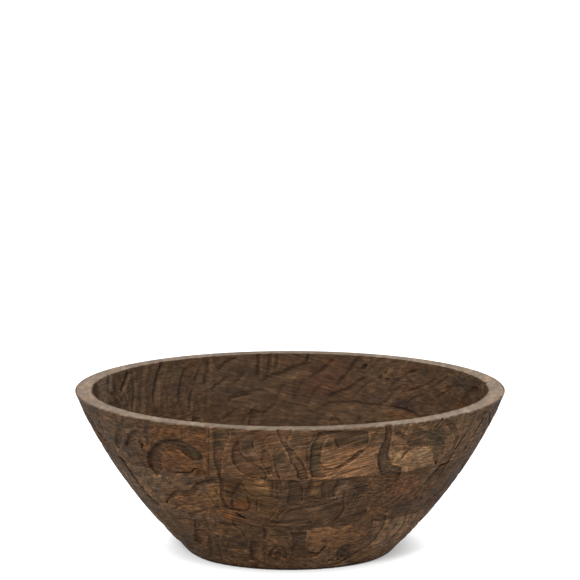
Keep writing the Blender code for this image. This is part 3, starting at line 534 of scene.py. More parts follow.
class Wall:
    """One side of the wall as a grid of angle and slant, with the depth carved at each point."""

    def __init__(self, angle, z, slant_at, radius_at, seed):
        self.angle, self.z = np.meshgrid(angle, z)
        self.slant_at, self.radius_at = slant_at, radius_at
        self.up = slant_at(self.z)
        self.depth = np.zeros_like(self.z)
        self.cut = np.zeros_like(self.z)
        self.noise = Noise(seed)
        self.far = self.noise(self.angle * 130, self.up, 2.6)
        self.fine = self.noise(self.angle * 130 + 50, self.up, 1.1)
        self.wide = self.noise(self.angle * 130, self.up + 300, 17.0)

    def place(self, points, centre=None, lean=0.0, flip=1):
        """Stroke corners as angle and slant. With a centre (angle, height), they are relative to it."""
        p = np.asarray(points, float)
        if centre is None:
            return np.stack([np.arcsin(np.clip(p[:, 0] / self.radius_at(p[:, 1]), -0.999, 0.999)),
                             self.slant_at(p[:, 1])], 1)
        across = flip * (p[:, 0] * math.cos(lean) - p[:, 1] * math.sin(lean))
        rise = p[:, 0] * math.sin(lean) + p[:, 1] * math.cos(lean)
        angle = centre[0] + across / self.radius_at(centre[1])
        return np.stack([angle, self.slant_at(centre[1]) + SLANT_GAIN * rise], 1)

    def around(self, corners, spacing, margin, closed=False):
        """The curve through (angle, slant) corners, and which grid points are near it, and their places."""
        radius = float(self.radius_at(np.interp(corners[:, 1].mean(), self.up[::-1, 0], self.z[::-1, 0])))
        path = through(corners * [radius, 1.0], spacing, closed)
        low, high = path.min(0) - margin, path.max(0) + margin
        turn = math.tau * radius
        a = self.angle * radius
        a = a - turn * np.round((a - (low[0] + high[0]) / 2) / turn)
        near = (a > low[0]) & (a < high[0]) & (self.up > low[1]) & (self.up < high[1])
        return path, near, a[near], self.up[near]

    def carve(self, shape, width, depth, fade, corners, wander=0.35):
        """Cut one stroke. A deeper cut wins over a shallower one."""
        path, near, x, y = self.around(corners, 1.2, width)
        if not len(x):
            return
        start, leg = path[:-1], np.diff(path, axis=0)
        length = np.maximum(np.linalg.norm(leg, axis=1), 1e-6)
        along = np.concatenate([[0], np.cumsum(length)])
        best = np.full(x.shape, 1e9)
        side = np.zeros_like(best)
        run = np.zeros_like(best)
        for (sx, sy), (lx, ly), size, begun in zip(start, leg, length, along):
            t = np.clip(((x - sx) * lx + (y - sy) * ly) / size**2, 0, 1)
            dx, dy = x - sx - t * lx, y - sy - t * ly
            gap = dx * dx + dy * dy
            closer = gap < best
            best = np.where(closer, gap, best)
            side = np.where(closer, np.sign(lx * dy - ly * dx), side)
            run = np.where(closer, begun + t * size, run)
        total = along[-1]
        ends = np.minimum(smooth(run, -0.3 * fade[0] - 0.2, fade[0] + 0.2),
                          smooth(total - run, -0.3 * fade[1] - 0.2, fade[1] + 0.2))
        half = width / 2 * (0.45 + 0.55 * ends)
        across = np.sqrt(best) + wander * self.far[near]
        inside = half - across
        ratio = np.clip(across / half, 0, 1)
        if shape == "flat":
            profile = smooth(inside, -0.15, 0.6) * 0.35 + 0.75 * np.clip(1 - ratio**2, 0, 1)
        elif shape == "round":
            profile = np.clip(1 - ratio**2, 0, 1)
        elif shape == "vee":
            profile = np.clip(1 - ratio, 0, 1) ** 1.2
        else:
            signed = side * across / half
            lip = 0.22 if shape == "step" else 0.75
            profile = smooth(signed + 1, 0.0, lip) * np.clip((1 - signed) / 2, 0, 1) ** 1.2 * (across < half)
        chatter = 0.06 * np.sin(run * math.tau / 2.3 + 1.5 * self.far[near]) + 0.05 * self.fine[near]
        cut = depth * profile * (0.5 + 0.5 * ends) * (1 + 0.08 * self.wide[near]) + chatter * (profile > 0.3)
        self.depth[near] = np.where(profile > 0, np.maximum(self.depth[near], cut), self.depth[near])
        self.cut[near] = np.maximum(self.cut[near], smooth(profile, 0.15, 0.6) * ends)

    def hollow(self, depth, corners):
        """Cut back the area inside a closed outline: a soft shoulder, then down to an even floor."""
        path, near, x, y = self.around(corners, 1.3, 2, closed=True)
        if not len(x):
            return
        best = np.full(x.shape, 1e9)
        within = np.zeros(x.shape, bool)
        for (sx, sy), (ex, ey) in zip(path, np.roll(path, -1, axis=0)):
            lx, ly = ex - sx, ey - sy
            t = np.clip(((x - sx) * lx + (y - sy) * ly) / max(lx * lx + ly * ly, 1e-9), 0, 1)
            best = np.minimum(best, (x - sx - t * lx) ** 2 + (y - sy - t * ly) ** 2)
            if abs(ly) > 1e-9:
                within ^= ((sy > y) != (ey > y)) & (x < sx + (y - sy) * lx / ly)
        s = np.where(within, 1, -1) * np.sqrt(best) + 0.25 * self.far[near] + 0.15 * self.fine[near]
        profile = smooth(s, -0.35, 1.2)
        bowl = 1 - (1 - np.clip(s / HOLLOW_SIDE, 0, 1)) ** 2
        cut = (depth * (0.32 * profile + bowl) * (1 + 0.15 * self.wide[near])
               + (0.09 * self.fine[near] + 0.14 * self.far[near]) * profile)
        self.depth[near] = np.maximum(self.depth[near] * (1 - 0.85 * profile), cut)
        self.cut[near] = np.maximum(self.cut[near], profile)

    def scoops(self, count, depth, size=1.0):
        """Shallow overlapping gouge marks that texture the whole wall."""
        for _ in range(count):
            angle = rng.uniform(-math.pi, math.pi)
            height = rng.uniform(self.z.min(), self.z.max())
            lean = rng.normal(0.5, 0.7)
            length, width = size * rng.uniform(5, 15), size * rng.uniform(2.5, 5.5)
            points = ((-length * math.sin(lean), -length * math.cos(lean)), (0.6, 0),
                      (length * math.sin(lean), length * math.cos(lean)))
            corners = self.place(points, (angle, height))
            self.carve("round", width, depth * rng.uniform(0.5, 1.0), (4, 4), corners, wander=0.2)


def blurred(field, reach):
    """Box blur over some steps each way, which wraps round the bowl and stops at the top and foot."""
    out = np.pad(field, ((reach, reach), (0, 0)), mode="edge")
    total = np.cumsum(np.vstack([np.zeros((1, out.shape[1])), out]), axis=0)
    out = (total[2 * reach + 1:] - total[:-2 * reach - 1]) / (2 * reach + 1)
    out = np.pad(out, ((0, 0), (reach, reach)), mode="wrap")
    total = np.cumsum(np.hstack([np.zeros((out.shape[0], 1)), out]), axis=1)
    return (total[:, 2 * reach + 1:] - total[:, :-2 * reach - 1]) / (2 * reach + 1)


# ---------------------------------------------------------------- carve both sides of the wall
STEPS_PER_MM = 1 / 0.55         # grid steps at full detail on the front
SLANT_GAIN = 1.12               # motifs are stretched this much up the leaning wall
FINE = math.radians(82)         # the front is carved in finer steps than the rest, this far round each way
fine_steps, coarse_steps = int(820 * DETAIL), int(560 * DETAIL)
columns = np.concatenate([np.linspace(-FINE, FINE, fine_steps, endpoint=False),
                          np.linspace(FINE, math.tau - FINE, coarse_steps, endpoint=False)])
eased_rows = HEIGHT - EASED_EDGE * np.array([0, 0.03, 0.12, 0.3])
outer_rows = np.concatenate([eased_rows, np.linspace(HEIGHT, 0, 3 * int(89 * DETAIL) + 1)[1:]])
inner_rows = np.concatenate([eased_rows, np.linspace(HEIGHT, LAYER, 2 * int(66 * DETAIL) + 1)[1:]])

rng = np.random.default_rng(23)
outside = Wall(columns, outer_rows, slant, outer_radius, 5)
inside = Wall(math.pi - columns, inner_rows, slant, inner_radius, 6)


def patch(wall, middle, half, softness, ragged=0.8, lean=0, turn=0.0):
    """A soft-edged rectangle on the wall, 1 in the middle, its top leaning to the right by some degrees."""
    angle = wall.angle - turn
    sideways = np.where(np.cos(angle) > 0, wall.radius_at(wall.z) * np.sin(angle), 1e4)
    x, z = sideways - middle[0], wall.z - middle[1]
    c, s = math.cos(math.radians(lean)), math.sin(math.radians(lean))
    a = np.abs(x * c - z * s) - half[0] + ragged * wall.far
    b = np.abs(x * s + z * c) - half[1] + ragged * wall.fine
    return smooth(-a, -softness, softness) * smooth(-b, -softness, softness)


# islands of the old surface that keep only fine chatter: middle, half size
OUTSIDE_ISLANDS = (((42, 92), (19, 10)), ((87, 90), (14, 7)), ((36, 30), (20, 8)), ((-75, 53), (16, 6)),
                   ((-11, 27), (8, 4)), ((-24, 72), (10, 5)), ((-78, 91), (8, 6)), ((74, 28), (5, 9)))
INSIDE_ISLANDS = (((62, 77), (33, 6)),)


def hand_of(wall, count, heights, reach, deeper=1.0):
    """Motifs of the same hand, spread over one layer round the bowl."""
    low, high = heights
    for k in range(count):
        angle = math.radians(reach[0] + (reach[1] - reach[0]) * (k + 0.5 + rng.uniform(-0.25, 0.25)) / count)
        centre = (angle, (low + high) / 2 + rng.uniform(-5, 5))
        lean, flip, size = rng.uniform(-0.5, 0.5), rng.choice((-1, 1)), rng.uniform(0.75, 1.0)
        for shape, width, depth, fade, points in MOTIFS[rng.integers(len(MOTIFS))]:
            corners = wall.place([(x * size, y * size) for x, y in points], centre, lean, flip)
            wall.carve(shape, width, deeper * depth, fade, corners)


def calmed(wall, islands, share):
    """Level the islands out by some share of the depth there, and tell where they are."""
    calm = np.zeros_like(wall.z)
    for middle, half in islands:
        calm = np.maximum(calm, patch(wall, middle, half, 1.5))
    wall.depth *= 1 - share * calm
    return calm


def behind(corners):
    """The same place on the back of the bowl, straight through from the front."""
    return np.array([math.pi, 0]) + corners * [-1, 1]


outside.scoops(OUTSIDE_SCOOPS, SCOOP_DEPTH)
outside_calm = calmed(outside, OUTSIDE_ISLANDS, 0.75)
for where in (np.array, behind):
    for depth, outline in FRONT_HOLLOWS:
        outside.hollow(HOLLOW_DEPTH * depth, where(outside.place(outline)))
    for shape, width, depth, fade, points in FRONT_STROKES:
        if shape == "vee":
            width, depth = VEE_WIDTH * width, VEE_DEPTH * depth
        outside.carve(shape, width, FRONT_DEPTH * depth, fade, where(outside.place(points)))
for flank_reach in FLANK_REACHES:
    for layer, count in zip((2, 1, 0), FLANK_COUNT):
        hand_of(outside, count, (layer * LAYER, layer * LAYER + LAYER), flank_reach, FLANK_DEPTH)
outside.depth *= smooth(outside.z, 0.4, 3.0)
away = smooth(np.abs((outside.angle + math.pi) % math.tau - math.pi), math.radians(62), math.radians(80))
# only the front's cuts reach the rim's edge, and the widest line of each side is cut more shallowly
outside.depth *= 1 - away * (1 - smooth(HEIGHT - outside.z, 0.2, 3.6))
flank = np.abs(np.sin(outside.angle))
outside.depth *= 1 - 0.5 * smooth(flank, 0.975, 0.998)
# the wall swells a little above a leaner foot, which is leanest at the sides
outside.depth -= (0.75 * smooth(outside.z, 28, 62) * smooth(HEIGHT - outside.z, 4, 14)
                  - 0.8 * smooth(outside.z, 2, 9) * smooth(30 - outside.z, 0, 10))
outside.depth += 1.7 * smooth(flank, 0.7, 0.95) * smooth(14 - outside.z, 0, 12)

inside.scoops(INSIDE_SCOOPS, SCOOP_DEPTH, 1.5)
inside_calm = calmed(inside, INSIDE_ISLANDS, 0.7)
for shape, width, depth, fade, points in INSIDE_STROKES:
    inside.carve(shape, INSIDE_WIDTH * width, INSIDE_DEPTH * depth, fade, inside.place(points))
hand_of(inside, INSIDE_COUNT[0], (82, 118), (72, 288))
hand_of(inside, INSIDE_COUNT[1], (44, 80), (0, 360))


def rest_tints(count, layers, reach, seed):
    """The same kind of patches of stain elsewhere: one of each layer in turn, at seeded places."""
    draw = np.random.default_rng(seed)
    for k in range(count):
        middle = (0, layers[k % len(layers)] * LAYER + draw.uniform(7, 33))
        turn = math.radians(draw.uniform(*reach))
        half = (draw.uniform(6, 19), draw.uniform(4, 10))
        yield (middle, half, draw.uniform(1.4, 3.5), REST_COLOURS[draw.integers(len(REST_COLOURS))],
               draw.uniform(0.6, 0.95), draw.uniform(-45, 45), turn)


def stained(wall, tints, calm):
    """Colour of the stain (linear) with painted light and shade, and the marks: crease (stain with painted
    shade), worn ridge, sanded, and calm island.
    """
    near = blurred(wall.depth, max(1, int(1.5 * STEPS_PER_MM * DETAIL)))
    around = blurred(wall.depth, max(2, int(4 * STEPS_PER_MM * DETAIL)))
    rise, run = np.gradient(wall.depth, wall.up[:, 0], wall.angle[0] * 125)
    rise, run = blurred(rise, 1), blurred(run, 1)
    steep = smooth(np.hypot(rise, run), 0.3, 1.2)
    # crease: stain held in the cuts plus painted shade, darker on steep walls and where the wall lies deeper
    # than around it
    crease_stain_and_shade = (0.26 * steep + 0.42 * np.clip((wall.depth - near) / 0.35, 0, 1)
              + 0.26 * np.clip((wall.depth - around) / 1.2, 0, 1))
    # painted light and shade from each facet's slope, as if lit from the upper left
    facet_light_and_shade = FACET_LIGHT_AND_SHADE * np.tanh(1.8 * (FACET_LIGHT_UP * rise - FACET_LIGHT_ALONG * run))
    worn = (np.clip((near - wall.depth) / 0.28, 0, 1) * 0.75
            + np.clip((around - wall.depth) / 0.8, 0, 1) * 0.25)
    colour = board_colours(wall)
    stain = np.array(STAIN_INSIDE if wall is inside else STAIN_OUTSIDE)
    for middle, half, softness, tint, strength, *lean in tints:
        share = (strength * patch(wall, middle, half, softness, 1.6, *lean))[..., None]
        if wall is outside:         # stain stops at the joint, because each layer took it differently
            share = share * (wall.z // LAYER == middle[1] // LAYER)[..., None]
        colour = colour * (1 - share) + linear(tint) * stain * share
    # random tone, times the painted light and shade on the facets
    colour = colour * ((1 + 0.12 * wall.wide + 0.10 * wall.far) * (1 + facet_light_and_shade))[..., None]
    if wall is outside:
        # painted shade on the two sides of the bowl
        colour = colour * (1 - FLANK_SHADE * smooth(np.abs(np.sin(wall.angle)), 0.6, 1.0))[..., None]
        # painted contact shadow: the outside darkens over its lowest 2.6 mm, by up to 80% at the foot
        colour = colour * (1 - 0.8 * smooth(2.6 - wall.z, 0, 1.6))[..., None]
        sanded = (smooth(wall.z, HEIGHT - 1.0, HEIGHT - 0.4) * 0.35)[..., None]
        colour = colour * (1 - sanded) + linear(RIM_COLOUR) * sanded
        joints = sum(np.exp(-((wall.z - z) / JOINT_LINE) ** 2) for z in (LAYER, 2 * LAYER))
        colour = colour * (1 - joints * np.clip(0.26 + 0.25 * wall.wide, 0, 0.5))[..., None]
    floor_of_cut = (0.55 * wall.cut)[..., None]
    colour = colour * (1 - floor_of_cut) + (0.5 * colour + 0.5 * linear(CUT_COLOUR) * stain) * floor_of_cut
    if wall is inside:
        crease_stain_and_shade, worn = 0.6 * crease_stain_and_shade, 0.8 * worn
    smoothed = np.full_like(crease_stain_and_shade, 0.5 if wall is inside else 0.0)
    marks = np.stack([np.clip(crease_stain_and_shade, 0, 1), np.clip(worn, 0, 1), smoothed, calm], -1)
    return colour, marks


def board_colours(wall):
    """Each board's own colour under the stain; inside, every board's colour is drawn halfway to the mean of
    them all.
    """
    x = wall.radius_at(wall.z) * np.sin(wall.angle)
    front = np.cos(wall.angle) > 0
    if wall is inside:
        front = ~front
    layer = np.clip((wall.z / LAYER).astype(int), 0, 2)
    colour = np.zeros(wall.z.shape + (3,))
    for board in BOARDS.values():
        colour[(layer == board.layer) & on_board(board, x, front)] = linear(board.colour)
    if wall is inside:
        colour = 0.5 * colour + 0.5 * colour.mean((0, 1))
    return colour * (STAIN_INSIDE if wall is inside else STAIN_OUTSIDE)


back_tints = [((-x, z), half, softness, colour, 0.85 * strength, -sum(lean), math.pi)
              for (x, z), half, softness, colour, strength, *lean in OUTSIDE_TINTS]
outside_tints = [*OUTSIDE_TINTS, *back_tints]
for number, reach in enumerate(FLANK_REACHES):
    outside_tints += rest_tints(13, (2, 1, 0, 2, 1), reach, 31 + number)
inside_tints = [*INSIDE_TINTS, *rest_tints(30, (2, 1), (66, 294), 33)]
outside_colour, outside_marks = stained(outside, outside_tints, outside_calm)
inside_colour, inside_marks = stained(inside, inside_tints, inside_calm)


# ---------------------------------------------------------------- the wall's skin, row by row
def around_bowl(radius, z):
    """Points on circles round the bowl, in metres."""
    radius = np.broadcast_to(radius, columns.shape)
    z = np.broadcast_to(z, columns.shape)
    return np.stack([radius * np.sin(columns), -radius * np.cos(columns), z], -1) * MM


def eased(z):
    """How far a wall draws in close to the rim and the foot."""
    over = np.clip((z - (HEIGHT - EASED_EDGE)) / EASED_EDGE, 0, 1)
    under = np.clip((EASED_EDGE - z) / EASED_EDGE, 0, 1)
    return EASED_EDGE * ((1 - np.sqrt(1 - over**2)) + (1 - np.sqrt(1 - under**2)))


PLAIN = np.array([0, 0, 0, 0.0])        # no crease stain or painted shade, wear, sanding or calm
SANDED = np.array([0, 0, 1, 0.0])


class Skin:
    """Rows of points, colours and marks that run once round a layer's cross-section."""

    def __init__(self):
        self.points, self.colours, self.marks = [], [], []

    def add(self, points, colour, marks):
        self.points.append(points)
        self.colours.append(np.broadcast_to(colour, columns.shape + (3,)))
        self.marks.append(np.broadcast_to(marks, columns.shape + (4,)))

    def wall(self, wall, colour, marks, low, high, side, down):
        """The rows of one carved wall between two heights; side is 1 outside and -1 inside."""
        heights = wall.z[:, 0]
        rows = np.nonzero((heights < high + 1e-6) & (heights > low - 1e-6))[0]
        for row in rows if down else rows[::-1]:
            z = heights[row]
            radius = np.minimum(wall.radius_at(z) - side * (SHY + eased(z) + wall.depth[row]), WIDEST)
            z = min(max(z, low + LAYER_GAP * (low > 0)), high - LAYER_GAP * (high < HEIGHT))
            self.add(around_bowl(radius, z), colour[row], marks[row])

    def across(self, start, end, steps, z, colour, marks=PLAIN):
        """Rows between two radii that vary round the bowl. Height and colour may depend on the share."""
        for share in (np.arange(steps) + 1) / (steps + 1):
            radius = start * (1 - share) + end * share
            self.add(around_bowl(radius, z(share) if callable(z) else z),
                     colour(share) if callable(colour) else colour, marks)


RIM_STEPS = max(6, int(22 * DETAIL))
rim_noise = Noise(9)


def radius_of(row):
    """How far from the axis each point of a row lies, in mm."""
    return np.hypot(row[:, 0], row[:, 1]) / MM


def row_near(wall, height):
    return int(np.argmin(np.abs(wall.z[:, 0] - height)))


def rim_colour(share):
    """The sanded rim: pale, a little warmer in places, with the stain of the wall at its very edges."""
    along, over = 150 * columns, np.full_like(columns, share * 14)
    tone = 1 + 0.10 * rim_noise(along, over, 9.0) + 0.08 * rim_noise(along + 400, over, 2.2)
    edge = np.clip(1.6 - 14 * min(share, 1 - share), 0, 1) * 0.35
    for name, left in RIM_TONES.items():
        tone = np.where(on_board(BOARDS[name], 150 * np.sin(columns), np.cos(columns) > 0), tone * left, tone)
    pale = linear(RIM_COLOUR) * tone[:, None]
    return pale * (1 - edge) + linear(BOARDS["rim_front_board"].colour) * STAIN_OUTSIDE * edge


def rim_height(share):
    """The rim's top, sanded a little uneven."""
    return HEIGHT - 0.03 - 0.05 * (1 + rim_noise(150 * columns, np.full_like(columns, 14 * share), 5.0))


def ring_skin(layer):
    """The skin of an upper layer: down the outside, in underneath, up the inside and out over the top."""
    low, high = layer * LAYER, (layer + 1) * LAYER
    skin = Skin()
    skin.wall(outside, outside_colour, outside_marks, low, high, 1, True)
    inner = inner_radius(low) + SHY + inside.depth[row_near(inside, low)]
    skin.across(radius_of(skin.points[-1]), inner, 2, low + LAYER_GAP, outside_colour[row_near(outside, low)])
    skin.wall(inside, inside_colour, inside_marks, low, high, -1, False)
    inner, outer = radius_of(skin.points[-1]), radius_of(skin.points[0])
    if layer == 2:
        skin.across(inner, outer, RIM_STEPS, rim_height, rim_colour, SANDED)
    else:
        skin.across(inner, outer, 2, high - LAYER_GAP, outside_colour[row_near(outside, high)])
    return skin


def base_skin():
    """The skin of the base layer, from the middle of the underside round to the middle of the floor."""
    floor_noise, dents = Noise(14), Noise(15)
    tilt = math.atan2(1.0, float(outer_slope(LAYER)) + WALL_GAIN)
    bend = (LAYER - FLOOR) / (1 - math.cos(tilt))
    corner = float(inner_radius(LAYER)) - bend * math.sin(tilt)     # where the flat floor starts to turn up
    profile = [(r, FLOOR, 0.0) for r in np.linspace(1.5, corner, max(6, int(26 * DETAIL)), endpoint=False)]
    profile += [(corner + bend * math.sin(t), FLOOR + bend * (1 - math.cos(t)), t)
                for t in np.linspace(0, tilt, max(10, int(44 * DETAIL)))]
    wall_end = inside.depth[row_near(inside, LAYER)]
    rows, colours = [], []
    for r, z, t in profile:
        x, y = r * np.sin(columns), r * np.cos(columns)
        fade = smooth(np.full_like(columns, r), 6.0, 30.0)
        dip = fade * (0.25 + 0.22 * floor_noise(x + 200, y + 200, 7.0) + 0.10 * dents(x + 200, y + 200, 2.6))
        joins = smooth(np.full_like(columns, z), FLOOR + 13, LAYER)
        dip = dip * (1 - joins) + wall_end * joins
        rows.append((r + (dip + SHY) * math.sin(t), z - (dip + SHY) * math.cos(t)))
        tone = 1 + 0.14 * floor_noise(x + 600, y + 600, 9.0)
        colours.append(linear(FLOOR_COLOUR) * STAIN_INSIDE * tone[:, None])
    colours[-1] = inside_colour[row_near(inside, LAYER)]

    skin = Skin()
    for radius in (2.0, 20.0, 40.0, 60.0, 72.0):
        skin.add(around_bowl(radius, 0.0), linear(BOARDS["base_knot_board"].colour) * 1.1, PLAIN)
    skin.wall(outside, outside_colour, outside_marks, 0.0, LAYER, 1, False)
    inner = inner_radius(LAYER) + SHY + wall_end
    top_colour = outside_colour[row_near(outside, LAYER)]
    skin.across(radius_of(skin.points[-1]), inner, 2, LAYER - LAYER_GAP, top_colour)
    for (radius, z), colour in zip(rows[::-1], colours[::-1]):
        skin.add(around_bowl(radius, np.minimum(z, LAYER - LAYER_GAP)), colour, PLAIN)
    return skin


def solid_of(skin, closed):
    """Points, faces, colours and marks of a layer. A layer that isn't closed ends in a point at each end."""
    points = np.stack(skin.points)
    rows, across = points.shape[:2]
    index = np.arange(rows * across).reshape(rows, across)
    below = np.vstack([index[1:], index[:1]]) if closed else index[1:]
    above = index if closed else index[:-1]
    quads = np.stack([above, below, np.roll(below, -1, 1), np.roll(above, -1, 1)], -1).reshape(-1, 4)
    co = points.reshape(-1, 3)
    colour = np.stack(skin.colours).reshape(-1, 3)
    marks = np.stack(skin.marks).reshape(-1, 4)
    fans = np.zeros((0, 3), int)
    if not closed:
        # here rows run from the middle of the underside, up the wall, and in to the middle of the floor
        quads = quads[:, ::-1]
        first, last = index[0], index[-1]
        ends = np.array([[0, 0, points[0, 0, 2]], [0, 0, points[-1, :, 2].mean()]])
        centre = len(co)
        co = np.vstack([co, ends])
        colour = np.vstack([colour, colour[:1], colour[last[:1]]])
        marks = np.vstack([marks, marks[:1], marks[last[:1]]])
        fans = np.vstack([np.stack([np.roll(first, -1), first, np.full(across, centre)], -1),
                          np.stack([last, np.roll(last, -1), np.full(across, centre + 1)], -1)])
    return co, quads, fans, colour, marks


def board_piece(name, board, solid):
    """One board: the layer's skin between its two joints, closed with flat faces on the joints."""
    co, quads, fans, colour, marks = solid
    x, y = co[:, 0] / MM, co[:, 1] / MM

    def chosen(faces):
        wanted = np.ones(len(faces), bool)
        if board.left is not None:
            wanted &= x[faces].max(1) > board.left - CUT_MARGIN
        if board.right is not None:
            wanted &= x[faces].min(1) < board.right + CUT_MARGIN
        if board.half == "front":
            wanted &= y[faces].mean(1) < 0
        elif board.half == "back":
            wanted &= y[faces].mean(1) > 0
        return faces[wanted]

    quads, fans = chosen(quads), chosen(fans)
    used = np.unique(np.concatenate([quads.ravel(), fans.ravel()]))
    renumber = np.full(len(co), -1)
    renumber[used] = np.arange(len(used))
    loops = np.concatenate([renumber[quads].ravel(), renumber[fans].ravel()])
    sizes = np.concatenate([np.full(len(quads), 4), np.full(len(fans), 3)])

    mesh = bpy.data.meshes.new(name)
    mesh.vertices.add(len(used))
    mesh.vertices.foreach_set("co", co[used].astype(np.float32).ravel())
    mesh.loops.add(len(loops))
    mesh.loops.foreach_set("vertex_index", loops.astype(np.int32))
    mesh.polygons.add(len(sizes))
    mesh.polygons.foreach_set("loop_start", np.concatenate([[0], np.cumsum(sizes)[:-1]]).astype(np.int32))
    mesh.update(calc_edges=True)
    mesh.validate()
    for label, values in (("stain", np.hstack([colour, np.ones((len(colour), 1))])), ("marks", marks)):
        layer = mesh.attributes.new(label, "FLOAT_COLOR", "POINT")
        layer.data.foreach_set("color", values[used].astype(np.float32).ravel())

    bm = bmesh.new()
    bm.from_mesh(mesh)
    for joint, keep_right in ((board.left, True), (board.right, False)):
        if joint is None:
            continue
        at = (joint + (GLUE_GAP / 2 if keep_right else -GLUE_GAP / 2)) * MM
        made = bmesh.ops.bisect_plane(bm, geom=bm.verts[:] + bm.edges[:] + bm.faces[:], dist=1e-7,
                                      plane_co=(at, 0, 0), plane_no=(1, 0, 0), clear_inner=keep_right,
                                      clear_outer=not keep_right)
        rim = [e for e in made["geom_cut"] if isinstance(e, bmesh.types.BMEdge)]
        bmesh.ops.triangle_fill(bm, use_beauty=True, edges=rim, normal=(-1 if keep_right else 1, 0, 0))
    bmesh.ops.recalc_face_normals(bm, faces=bm.faces[:])
    bm.to_mesh(mesh)
    bm.free()
    mesh.shade_smooth()
    mesh.set_sharp_from_angle(angle=math.radians(52))
    obj = bpy.data.objects.new(name + "_wood", mesh)
    bpy.context.scene.collection.objects.link(obj)
    return obj


# ---------------------------------------------------------------- stained mango wood
class Graph:
    """Short names for building a material's nodes."""

    def __init__(self, material):
        self.tree = material.node_tree
        self.tree.nodes.clear()

    def add(self, kind, inputs=(), **settings):
        node = self.tree.nodes.new(kind)
        for key, value in settings.items():
            setattr(node, key, value)
        for key, value in dict(inputs).items():
            self.set(node.inputs[key], value)
        return node

    def set(self, socket, value):
        if isinstance(value, bpy.types.NodeSocket):
            self.tree.links.new(value, socket)
        else:
            socket.default_value = value

    def math(self, operation, a, b=0.0, c=0.0):
        node = self.add("ShaderNodeMath", operation=operation)
        for socket, value in zip(node.inputs, (a, b, c)):
            self.set(socket, value)
        return node.outputs[0]

    def vector(self, operation, a, b=(0, 0, 0)):
        node = self.add("ShaderNodeVectorMath", operation=operation)
        self.set(node.inputs[0], a)
        if operation == "SCALE":
            self.set(node.inputs["Scale"], b)
        else:
            self.set(node.inputs[1], b)
        return node.outputs[0]

    def ramp(self, value, low, high, to_low=0.0, to_high=1.0):
        node = self.add("ShaderNodeMapRange", interpolation_type="SMOOTHSTEP")
        for key, setting in (("Value", value), ("From Min", low), ("From Max", high), ("To Min", to_low),
                             ("To Max", to_high)):
            self.set(node.inputs[key], setting)
        return node.outputs["Result"]

    def noise(self, at, scale=1.0, detail=2.0, roughness=0.5, distortion=0.0):
        node = self.add("ShaderNodeTexNoise", {"Vector": at, "Scale": scale, "Detail": detail,
                                               "Roughness": roughness, "Distortion": distortion})
        return node.outputs["Fac"]


RIB_PITCH = 1.45                # mm between the fine level ribs


